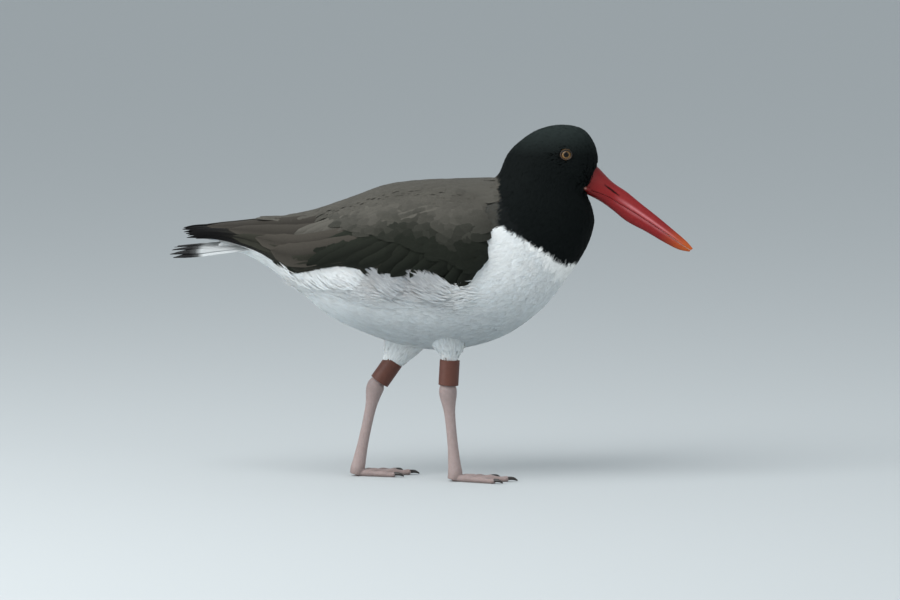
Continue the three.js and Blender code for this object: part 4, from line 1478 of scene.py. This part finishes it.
@dataclass
class Tail:
    """Twelve tail feathers, fanned a little, pale at their bases and black towards their tips.

    Args:
        feathers: How many.
        root, root_rise: x and z of the fan's root, and how far the feathers start above it.
        root_half: Half width of the row of roots.
        length, outer_longer, odd_shorter: Length of the middle feathers, what the outermost have more, and
            what every second one has less.
        spread: Angle of the outermost feathers.
        width: Full width of one feather.
        arch_drop, droop: How far the outermost lie lower, and how far the tips hang.
        slope: Angle of the fan below the level.
        dark_from, dark_full: Where along a feather the black begins and where it is full.
        steps: Steps along one feather.
    """

    feathers: int = 12
    root: tuple[float, float] = (-116.0, 161.5)
    root_rise: float = 3.8
    root_half: float = 9
    length: float = 60.0
    outer_longer: float = 7.5
    odd_shorter: float = 3.4
    spread: float = math.radians(11)
    width: float = 13.5
    arch_drop: float = 5.8
    droop: float = 2.7
    slope: float = math.radians(5)
    dark_from: float = 0.68
    dark_full: float = 0.74
    steps: int = 16

    def build(self, finish: Finish, rng: np.random.Generator) -> None:
        """Builds the tail's piece."""
        middle = (self.feathers - 1) / 2
        parts = []
        s = np.linspace(0, 1, self.steps)
        section = np.array(Shape.VANE.value, float)
        across, up = section[:, 0], section[:, 1]
        for i in range(self.feathers):
            f = (i - middle) / middle
            out = abs(f)
            odd = int(abs(i - middle)) % 2
            yaw = self.spread * f
            reach = (self.length + self.outer_longer * out - self.odd_shorter * odd) * s
            drop = self.arch_drop * out**1.6 * (0.35 + 0.65 * s) + self.droop * s**2
            centre = np.stack(
                [
                    self.root[0] - reach * math.cos(yaw) * math.cos(self.slope),
                    self.root_half * f + reach * math.sin(yaw),
                    self.root[1] + self.root_rise - reach * math.sin(self.slope) * 0.25 - drop - 0.5 * odd,
                ],
                -1,
            )
            side = unit(np.array([0, 1, -0.34 * f]))
            normal = unit(np.cross(unit(np.array([-1, math.sin(yaw), -0.08])), side))
            normal = normal if normal[2] > 0 else -normal
            profile = np.interp(s, [0, 0.3, 0.68, 0.88, 1], [0.6, 0.9, 0.92, 0.5, 0.06])
            half = self.width / 2 * profile
            ragged = 1 + 0.02 * rng.normal(0, 1, (self.steps, 1)) * (np.abs(across) > 0.9)
            out_by = up * 0.7 * np.linspace(1, 0.5, self.steps)[:, None] - 0.07 * half[:, None] * across**2
            verts = (
                centre[:, None]
                + side * (half[:, None] * across * ragged)[..., None]
                + normal * out_by[..., None]
            )
            dark = between(s, self.dark_from, self.dark_full)[:, None, None]
            colour = Colour.SHADED_WHITE * 0.85 * (1 - dark) + Colour.TAIL * dark
            colour = np.broadcast_to(colour * rng.uniform(0.9, 1.1), verts.shape)
            own = vane_map(s, across)
            maps = own * [0.07, 0.9] + [0.02 + 0.08 * i, 0.05]
            parts.append(
                MeshData(
                    verts.reshape(-1, 3),
                    grid_faces(self.steps, len(across)),
                    colour.reshape(-1, 3),
                    maps.reshape(-1, 2),
                    own.reshape(-1, 2),
                )
            )
        data = MeshData.joined(parts)
        piece = data.build("feathers_tail", finish.material(), "tail")
        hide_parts("tail")
        log.info("%s: %d triangles", piece.name, len(data.faces))


# Head


@dataclass
class Bill:
    """The long bill: upper and lower halves that meet at the line of the mouth.

    Args:
        steps, around: How finely each half is divided along it and across it.
        gap: Half the gap at the line of the mouth.
        nostril: x and z of the slit's two ends.
        gape: x and z of the corner of the mouth.
        highlight_line: Height of the painted highlight along the mouth on each half, as a share.
        highlight: How strong it is on each.
        highlight_width: How broad it is, as a share.
        ribs: Culmen x z, mouth x z, lower edge x z and half width, from inside the face to the tip.
    """

    steps: int = 260
    around: int = 72
    gap: float = 0.15
    nostril: tuple[float, float, float, float] = (117.2, 204.2, 128.6, 195.6)
    gape: tuple[float, float] = (105.4, 201.3)
    highlight_line: tuple[float, float] = (0.26, 0.1)
    pink: tuple[float, float] = (0.95, 0.45)
    highlight_width: float = 0.13
    ribs: Points = field(
        default_factory=lambda: np.array(
            [
                [109.5, 218.6, 99.9, 203.8, 99.5, 199.0, 10.2],
                [113.8, 215.2, 105.9, 201.0, 105.5, 197.0, 8.6],
                [123.2, 205.6, 119.0, 196.2, 114.9, 192.1, 5.8],
                [133.5, 198.4, 127.6, 191.0, 123.2, 186.2, 4.5],
                [142.5, 191.0, 136.3, 185.8, 133.3, 178.2, 3.9],
                [153.5, 182.3, 148.0, 178.2, 146.5, 171.1, 3.3],
                [165.7, 172.1, 161.8, 168.9, 158.6, 164.0, 2.5],
                [174.2, 164.7, 170.8, 162.3, 168.7, 158.9, 1.8],
                [178.9, 159.4, 177.2, 158.3, 176.4, 157.2, 0.9],
            ]
        )
    )

    def half(self, upper: bool) -> MeshData:
        """One half as a closed mesh with its colours."""
        t = np.linspace(0, 1, self.steps)
        rib = smooth_rows(self.ribs, t)
        mouth = np.stack([rib[:, 2], 0 * t, rib[:, 3]], -1)
        edge = np.stack([rib[:, 0 if upper else 4], 0 * t, rib[:, 1 if upper else 5]], -1)
        up = edge - mouth
        height = np.linalg.norm(up, axis=1, keepdims=True)
        up = up / height
        turn = np.pi * np.linspace(0, 1, self.around)
        rise = np.sin(turn) ** 0.85
        verts = (
            (mouth + up * self.gap)[:, None]
            + (up * np.maximum(height - self.gap, 0.3))[:, None] * rise[None, :, None]
            + np.array([0, 1.0, 0]) * (rib[:, 6][:, None] * np.cos(turn)[None])[..., None]
        )
        base = between(t, 0.0, 0.3)[:, None, None]
        far = between(t, 0.7, 0.93)[:, None, None]
        colour = Colour.BILL_BASE * (1 - base) + Colour.BILL_MIDDLE * base
        half = 0 if upper else 1
        # Painted highlight along the mouth's edge, fading towards the tip.
        pale = np.exp(-(((rise[None] - self.highlight_line[half]) / self.highlight_width) ** 2))
        pale = (between(t, 0.3, 0.48) * (1 - 0.6 * far[:, 0, 0]))[:, None] * pale
        pink = self.pink[half] * pale[..., None]
        colour = colour * (1 - pink) + Colour.BILL_HIGHLIGHT * pink
        colour = colour * (1 - far) + Colour.BILL_TIP * far
        ridge = 1 - 0.22 * rise[None, :, None] ** 3 * (1 - far)
        colour = colour * ridge * (1.0 if upper else 0.92)
        round_map = turn / np.pi * 0.46 + (0.52 if upper else 0.02)
        maps = np.stack(np.broadcast_arrays(t[:, None] * 0.96 + 0.02, round_map[None]), -1)
        return MeshData(
            verts.reshape(-1, 3),
            grid_faces(self.steps, self.around),
            np.broadcast_to(colour, verts.shape).reshape(-1, 3).copy(),
            maps.reshape(-1, 2),
        )

    def build(self, finish: Finish, surface: BodySurface) -> None:
        """Builds both halves, with nostrils in the upper one and the corners of the mouth on the lower."""
        material = finish.material()
        upper_half = self.half(True)
        self._press_nostrils(upper_half)
        upper = upper_half.build("bill_upper_horn", material, "bill")
        corners = [self._gape(side, surface_half_width(surface, *self.gape)) for side in Side]
        lower = MeshData.joined([self.half(False), *corners]).build("bill_lower_horn", material, "bill")
        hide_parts("bill_upper")
        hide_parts("bill_lower")

    def _gape(self, side: Side, surface_y: float) -> MeshData:
        """The fleshy corner of the mouth on one side, with its pale spot."""
        ways = np.array([[0.906, 0, -0.423], [0, 1, 0], [0.423, 0, 0.906]])
        centre = np.array([self.gape[0], side.value * (surface_y - 0.5), self.gape[1]])
        ball, faces = ellipsoid(centre, ways, (3.6, 1.2, 1.5), 28, 36)
        pale = np.exp(-(np.hypot(ball[:, 0] - 104.4, ball[:, 2] - 201.9) / 0.8) ** 2)[:, None]
        paint = Colour.BILL_BASE * (1 - pale) + Colour.GAPE * pale
        return MeshData(ball, faces, paint)

    def _press_nostrils(self, half: MeshData) -> None:
        """Presses a slit into both sides, and paints shade into it."""
        slit_half, depth_most = 0.62, 1.1
        x0, z0, x1, z1 = self.nostril
        along = unit(np.array([x1 - x0, z1 - z0]))
        middle = np.array([(x0 + x1) / 2, (z0 + z1) / 2])
        offset = half.verts[:, [0, 2]] - middle
        reach = offset @ along / (math.hypot(x1 - x0, z1 - z0) / 2)
        beside = (offset @ np.array([-along[1], along[0]])) / slit_half
        depth = np.clip(1 - reach**2 - beside**2, 0, 1) ** 0.6
        depth = np.where(np.abs(half.verts[:, 1]) > 1.0, depth, 0)
        half.verts[:, 1] -= np.sign(half.verts[:, 1]) * depth_most * depth
        # Painted shade in the slit, darkest where it is pressed deepest.
        dark = np.clip(1.4 * depth, 0, 1)[:, None]
        half.paint = half.paint * (1 - 0.85 * dark)


@dataclass
class Eye:
    """One eye with its bare lid ring.

    Args:
        side: Which eye.
        x, z: Its place in the side view.
        ring_outer: The outer radius of the lid ring.
        radius, proud: The ball's radius, and how far it stands out of the head.
        ring, ring_thick, ring_height: Radius of the ring's middle line, half its thickness, and its height
            as a share of its length.
        pupil_edge, iris_rim: Radii between which the pupil ends and the iris darkens.
    """

    side: Side
    x: float = 91.1
    z: float = 225.6
    ring_outer: float = 4.4
    radius: float = 4.6
    proud: float = 1.2
    ring: float = 3.8
    ring_thick: float = 0.6
    ring_height: float = 0.86
    pupil_edge: tuple[float, float] = (1.75, 1.95)
    iris_rim: tuple[float, float] = (2.9, 3.4)

    def build(self, surface_y: float, finish: Finish, lid_finish: Finish) -> None:
        """Builds the eyeball and the ring.

        Args:
            surface_y: Half width of the head at the eye.
            finish: The eyeball's finish.
            lid_finish: The ring's finish.
        """
        sign = self.side.value
        name = self.side.name.lower()
        rows, around = 48, 64
        centre = np.array([self.x, sign * (surface_y + self.proud - self.radius), self.z])
        angle = np.linspace(0.004, np.pi - 0.004, rows)
        turn = np.linspace(0, 2 * np.pi, around, endpoint=False)
        a, b = np.meshgrid(angle, turn, indexing="ij")
        ball = np.stack([np.sin(a) * np.cos(b), np.cos(a) * sign, np.sin(a) * np.sin(b)], -1)
        verts = centre + self.radius * ball
        from_axis = self.radius * np.sin(a)
        front = a < np.pi / 2
        pupil = 1 - between(from_axis, *self.pupil_edge)
        rays = 0.9 + 0.12 * np.sin(17 * b) * np.sin(9 * b + 1.3)
        rim = between(from_axis, *self.iris_rim)
        # Painted shade from the brow over the top of the iris.
        brow_shade = 1 - 0.6 * between(verts[..., 2] - self.z, -0.4, 2.4)
        iris = Colour.IRIS * (rays * brow_shade)[..., None] * (1 - 0.25 * rim[..., None])
        colour = iris * (1 - pupil[..., None]) + Colour.PUPIL * pupil[..., None]
        colour = np.where(front[..., None], colour, Colour.PUPIL)
        eye = MeshData(verts.reshape(-1, 3), grid_faces(rows, around), colour.reshape(-1, 3)).build(
            f"eyeball_{name}", finish.material(), "eye"
        )
        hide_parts(f"eye_{name}")
        ring_turn = np.linspace(0, 2 * np.pi, 96, endpoint=False)
        tube_turn = np.linspace(0, 2 * np.pi, 20, endpoint=False)
        p, q = np.meshgrid(ring_turn, tube_turn, indexing="ij")
        wrinkle = 1 + 0.06 * np.sin(31 * p) * np.sin(2 * q + 5 * np.sin(3 * p))
        reach = self.ring + self.ring_thick * wrinkle * np.cos(q)
        squeeze = self.ring_height * np.where(np.sin(p) > 0, 0.95, 1.0)
        torus = np.stack(
            [
                self.x + reach * np.cos(p),
                sign * (surface_y + 0.15 + self.ring_thick * np.sin(q)),
                self.z + reach * np.sin(p) * squeeze,
            ],
            -1,
        )
        # Painted shade from the brow over the top of the lid ring.
        brow_shade = 1 - 0.85 * between(np.sin(p) + 0.35 * np.cos(p), -0.35, 0.5)
        colours = (Colour.LID * brow_shade[..., None]).reshape(-1, 3)
        faces = loop_faces(len(ring_turn), len(tube_turn))
        lid = MeshData(torus.reshape(-1, 3), faces, colours).build(
            f"lid_{name}", lid_finish.material(), "eyelid"
        )
        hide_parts(f"eyelid_ring_{name}")


# Legs


@dataclass(frozen=True)
class Toe:
    """A front toe: its name, length, angle outwards in degrees and half thickness."""

    name: str
    length: float
    degrees: float
    half: float


@dataclass
class Leg:
    """A bare shank and three-toed foot in one skin, with claws and a plain band.

    Args:
        side: Which leg.
        shank: Points of its middle line, from inside the thigh to the foot, with y as on the left leg.
        foot_yaw: Angle of the foot outwards, in degrees.
        sizes: Half sizes of the shank at those points.
        toes: The front toes, from the inner one.
        claw_length: How far a claw stands out of its toe.
        band_outer, band_inner, band_height: The band's radii and height.
        band_above: How far it starts above the ankle.
        band_bevel: The width of its bevelled edges.
        skin_cell: The size of the cells that the skin is rebuilt from.
    """

    side: Side
    shank: Points
    foot_yaw: float
    sizes: Points = field(
        default_factory=lambda: np.array(
            [[3.9, 3.6], [4, 3.7], [4.3, 4], [6.2, 5.6], [3.9, 3.3], [3.7, 3.1], [5, 4.6]]
        )
    )
    toes: tuple[Toe, ...] = (Toe("inner", 29, -26, 2.9), Toe("middle", 38, 2, 3.2), Toe("outer", 33, 27, 3.0))
    claw_length: float = 6.5
    band_outer: float = 6.9
    band_inner: float = 5.7
    band_above: float = 5.0
    band_height: float = 17.5
    band_bevel: float = 0.25
    skin_cell: float = 0.45

    def _heel(self) -> Points:
        """The place on the floor from which the toes and webs spread."""
        return np.array([self.shank[-1][0] - 1, self.side.value * self.shank[-1][1], 0])

    def _way(self, toe: Toe) -> Points:
        """A toe's direction over the floor."""
        angle = math.radians(toe.degrees + self.foot_yaw)
        return np.array([math.cos(angle), self.side.value * math.sin(angle), 0])

    def _limb(self, points: Points, sizes: Points, rows: int, around: int) -> tuple[Points, Points]:
        """Points and triangles of a round limb."""
        limb = LimbSurface(np.asarray(points, float), np.asarray(sizes, float))
        turn = np.linspace(0, 1, around, endpoint=False)
        u, v = np.meshgrid(np.linspace(1, 0, rows), turn, indexing="ij")
        return limb.point(u, v).reshape(-1, 3), grid_faces(rows, around)

    def _toe(self, toe: Toe) -> tuple[tuple[Points, Points], tuple[Points, Points]]:
        """One toe's limb and its claw, each as points and triangles."""
        pads, taper, blunt, claw_height = 3, 0.34, 0.62, 2.3
        way, start = self._way(toe), self._heel()
        s = np.linspace(0, 1, 28)
        pad = 1 + 0.1 * np.cos(2 * np.pi * pads * s)
        half = toe.half * (1 - taper * s) * pad
        half[-1] *= blunt
        points = start + way * (toe.length * s)[:, None]
        points = points + np.array([0, 0, 1.0]) * (0.7 * half + 0.25)[:, None]
        limb = self._limb(points, np.stack([0.92 * half, half], 1), 60, 20)
        end = start + way * toe.length
        claw_points = np.array(
            [
                end - way * 1.6 + [0, 0, claw_height],
                end + way * self.claw_length * 0.45 + [0, 0, claw_height],
                end + way * self.claw_length * 0.95 + [0, 0, 0.95],
            ]
        )
        claw = self._limb(claw_points, np.array([[1.3, 1.5], [1.1, 1.2], [0.45, 0.4]]), 18, 16)
        return limb, claw

    def build(self, skin: Finish, horn: Finish, plastic: Finish) -> None:
        """Builds the leg's skin, claws and band."""
        name = self.side.name.lower()
        sign = np.array([1, self.side.value, 1])
        parts = [self._limb(self.shank * sign, self.sizes, 120, 24)]
        for toe in self.toes:
            limb, (claw, claw_faces) = self._toe(toe)
            parts.append(limb)
            claw[:, 2] = np.maximum(claw[:, 2], 0)
            data = MeshData(claw, claw_faces, np.broadcast_to(Colour.CLAW, claw.shape))
            piece = data.build(f"horn_{toe.name}_{name}", horn.material(), "claw")
            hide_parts(f"claw_{toe.name}_{name}")
        parts.append(self._joint())
        parts += [self._web(1, 2, 0.45), self._web(1, 0, 0.27)]
        meshes = [MeshData(p, f, np.broadcast_to(Colour.LEG, p.shape)) for p, f in parts]
        leg = MeshData.joined(meshes).build(f"leg_skin_{name}", skin.material(), "leg_skin")
        one_skin(leg, self.skin_cell, rounds=4)
        self._repaint(leg)
        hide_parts(f"shank_{name}", f"foot_{name}")
        self._band(plastic, name)

    def _joint(self) -> tuple[Points, Points]:
        """The knuckle where the toes meet the shank."""
        x, y, z = self.shank[-1]
        y = y * self.side.value
        above = self.shank[-2]
        up = unit(np.array([above[0] - x, 0, above[2] - z]))
        points = np.array([[x - 1, y, 1], [x, y, z + 0.5], [x + up[0] * 8, y, z + up[2] * 8]])
        return self._limb(points, np.array([[4.6, 4.6], [5, 4.7], [4.2, 3.8]]), 24, 24)

    def _web(self, a: int, b: int, reach: float) -> tuple[Points, Points]:
        """The short web between two toes.

        Args:
            a, b: The toes' places in the list.
            reach: How far it goes along them, as a share of their length.
        Returns:
            Points and triangles.
        """
        start = self._heel()

        def corner(index: int, share: float) -> Points:
            """A place on the floor under one toe."""
            toe = self.toes[index]
            return start + self._way(toe) * toe.length * share

        edge_a = [corner(a, reach * k) for k in np.linspace(0.1, 1.1, 8)]
        edge_b = [corner(b, reach * k) for k in np.linspace(0.1, 1.1, 8)]
        rings = []
        for pa, pb in zip(edge_a, edge_b):
            rings.append([pa + [0, 0, 2.3], pb + [0, 0, 2.3], pb + [0, 0, 0.9], pa + [0, 0, 0.9]])
        return np.array(rings).reshape(-1, 3), grid_faces(8, 4)

    def _repaint(self, leg: bpy.types.Object) -> None:
        """Paints the joined leg and flattens its soles."""
        ankle_height, ankle_reach, near_floor_to = 62, 6, 9
        mesh = leg.data
        places = places_of(mesh)
        places[:, 2] = np.maximum(places[:, 2], 0)
        mesh.vertices.foreach_set("co", places.ravel())
        z = places[:, 2] / MM
        # Darker towards the floor, and a little darker round the ankle.
        near_floor = (1 - between(z, 0.5, near_floor_to))[:, None]
        ankle = np.exp(-(((z - ankle_height) / ankle_reach) ** 2))[:, None]
        colour = Colour.LEG * (1 - 0.35 * near_floor - 0.12 * ankle) + Colour.LEG_DARK * 0.2 * near_floor
        repaint(mesh, colour)
        mesh.update()

    def _band(self, plastic: Finish, name: str) -> None:
        """The plain band round the shank, above the ankle."""
        sign = np.array([1, self.side.value, 1])
        ankle, above = self.shank[3] * sign, self.shank[1] * sign
        along = unit(above - ankle)
        low = ankle + along * self.band_above
        front = unit(np.cross([0.0, 1, 0], along))
        across = np.cross(along, front)
        bevel = self.band_bevel
        outline = (
            (self.band_inner, bevel),
            (self.band_inner + bevel, 0),
            (self.band_outer - bevel, 0),
            (self.band_outer, bevel),
            (self.band_outer, self.band_height - bevel),
            (self.band_outer - bevel, self.band_height),
            (self.band_inner + bevel, self.band_height),
            (self.band_inner, self.band_height - bevel),
        )
        around = 72
        turn = np.linspace(0, 2 * np.pi, around, endpoint=False)
        rings = []
        for t in turn:
            way = front * math.cos(t) + across * math.sin(t)
            rings.append([low + way * r + along * h for r, h in outline])
        verts = np.array(rings).reshape(-1, 3)
        faces = loop_faces(around, len(outline))
        paint = np.broadcast_to(Colour.BAND, verts.shape)
        band = MeshData(verts, faces, paint).build(f"band_{name}", plastic.material(), "leg_band")
        for polygon in band.data.polygons:
            polygon.use_smooth = False
        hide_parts(f"leg_band_{name}")


# The studio


@dataclass
class Studio:
    """A pale floor, soft light from above and the camera of the photograph.

    Args:
        distance, elevation: Where the camera stands, in metres from its aim and in radians over the level.
        frame_width: Width of the view at the aim, in metres.
        aim: What it looks at.
        lamps: Name, place, size and power of each soft light.
    """

    distance: float = 5.0
    elevation: float = math.radians(5)
    frame_width: float = 0.621
    aim: tuple[float, float, float] = (0.0114 + 0.0017, 0.0, 0.1238)
    lamps: tuple[tuple[str, tuple[float, float, float], float, float], ...] = (
        ("sky_panel", (-1.0, -1.0, 1.7), 1.6, 44),
        ("front_panel", (1.3, -1.6, 1.0), 1.2, 4),
        ("tail_panel", (-1.6, -0.7, 0.45), 0.9, 9),
    )

    def build(self) -> None:
        """Sets the stage."""
        bpy.ops.mesh.primitive_plane_add(size=24)
        floor = bpy.context.object
        floor.name = "floor"
        paper = bpy.data.materials.new("floor_paper")
        paper.use_nodes = True
        shader = paper.node_tree.nodes["Principled BSDF"]
        shader.inputs["Base Color"].default_value = (0.46, 0.49, 0.5, 1)
        shader.inputs["Roughness"].default_value = 0.9
        floor.data.materials.append(paper)
        world = bpy.data.worlds.new("soft_sky")
        world.use_nodes = True
        sky = world.node_tree.nodes["Background"]
        sky.inputs["Color"].default_value = (0.83, 0.89, 0.93, 1)
        sky.inputs["Strength"].default_value = 0.75
        bpy.context.scene.world = world
        for lamp in self.lamps:
            self._area(*lamp)
        camera_data = bpy.data.cameras.new("camera")
        camera_data.sensor_width = 36
        camera_data.lens = 36 * self.distance / self.frame_width
        camera_data.clip_end = 60
        camera = bpy.data.objects.new("camera", camera_data)
        away = np.array([0, -math.cos(self.elevation), math.sin(self.elevation)]) * self.distance
        camera.location = np.array(self.aim) + away
        camera.rotation_euler = (math.pi / 2 - self.elevation, 0, 0)
        bpy.context.scene.collection.objects.link(camera)
        bpy.context.scene.camera = camera
        bpy.context.scene.view_settings.view_transform = "Standard"

    def _area(self, name: str, place: tuple[float, float, float], size: float, power: float) -> None:
        """A square light that looks at the bird."""
        data = bpy.data.lights.new(name, "AREA")
        data.size = size
        data.energy = power
        lamp = bpy.data.objects.new(name, data)
        lamp.location = place
        towards = np.array([0, 0, 0.13]) - np.array(place)
        flat = math.hypot(towards[0], towards[1])
        turn = math.atan2(towards[1], towards[0]) - math.pi / 2
        lamp.rotation_euler = (math.atan2(flat, -towards[2]), 0, turn)
        bpy.context.scene.collection.objects.link(lamp)


FINISHES: dict[str, Finish] = {
    "white": Finish("white_feathers", 0.8, sheen=0.15, subsurface=0.25, mottle=0.04, specular=0.1),
    "hood": Finish("hood_feathers", 0.75, sheen_tint=(0.6, 0.8, 0.85), mottle=0.12, specular=0.05),
    "skin": Finish("skin", 0.8, mottle=0.05, specular=0.1),
    "vane": Finish("wing_feathers", 0.72, sheen=0.03, mottle=0.14, bump=0.04, barbs=70, specular=0.08),
    "tail": Finish("tail_feathers", 0.65, sheen=0.05, mottle=0.1, bump=0.05, barbs=80, specular=0.15),
    "bill": Finish(
        "bill_horn",
        0.42,
        subsurface=0.05,
        mottle=0.16,
        mottle_scale=260,
        bump=0.05,
        bump_scale=900,
        specular=0.25,
    ),
    "eye": Finish("eye", 0.14, coat=0.06, mottle=0.0, specular=0.16),
    "lid": Finish("lid_skin", 0.45, subsurface=0.1, mottle=0.12, bump=0.05, bump_scale=3000),
    "leg": Finish("leg_skin", 0.5, subsurface=0.12, mottle=0.14, mottle_scale=420, bump=0.12, scales=620),
    "claw": Finish("claw_horn", 0.35, coat=0.2, mottle=0.2),
    "band": Finish(
        "band_plastic", 0.5, mottle=0.16, mottle_scale=300, bump=0.03, bump_scale=700, specular=0.3
    ),
}

LEGS: tuple[Leg, ...] = (
    Leg(
        Side.RIGHT,
        np.array(
            [
                [11.8, 17.2, 93],
                [11.4, 17, 86],
                [10.4, 17, 71],
                [10, 17, 61.5],
                [11.2, 17, 47],
                [13.4, 17, 24],
                [15, 17, 5],
            ]
        ),
        4,
    ),
    Leg(
        Side.LEFT,
        np.array(
            [
                [-25.4, 17.4, 84],
                [-29.6, 17, 77],
                [-36.6, 17, 67.6],
                [-40.4, 17, 61.6],
                [-43.6, 17, 47.4],
                [-48.6, 17, 24.4],
                [-52.6, 17, 5],
            ]
        ),
        6,
    ),
)


def surface_half_width(body: BodySurface, x: float, z: float) -> float:
    """Half width of the body at one place of its side view."""
    u, v = np.meshgrid(np.linspace(0.5, 1, 400), np.linspace(0.0, 0.5, 300), indexing="ij")
    places = body.point(u, v).reshape(-1, 3)
    far = np.hypot(places[:, 0] - x, places[:, 2] - z)
    return float(places[np.argmin(far), 1])


def main() -> None:
    """Builds the bird over its frame."""
    logging.basicConfig(level=logging.INFO, format="%(message)s")
    rng = np.random.default_rng(SEED)
    body = Body()
    body.skin(FINISHES["skin"])
    log.info("skin done")
    body.coat(FINISHES, rng)
    for side in Side:
        Wing(side).build(FINISHES["vane"], rng)
    Tail().build(FINISHES["tail"], rng)
    Bill().build(FINISHES["bill"], body.surface)
    half_width = surface_half_width(body.surface, Eye.x, Eye.z)
    for side in Side:
        Eye(side).build(half_width, FINISHES["eye"], FINISHES["lid"])
        log.info("eye %s done", side.name.lower())
    for leg in LEGS:
        leg.build(FINISHES["leg"], FINISHES["claw"], FINISHES["band"])
        log.info("leg %s done", leg.side.name.lower())
    Studio().build()


if __name__ == "__main__":
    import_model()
    main()
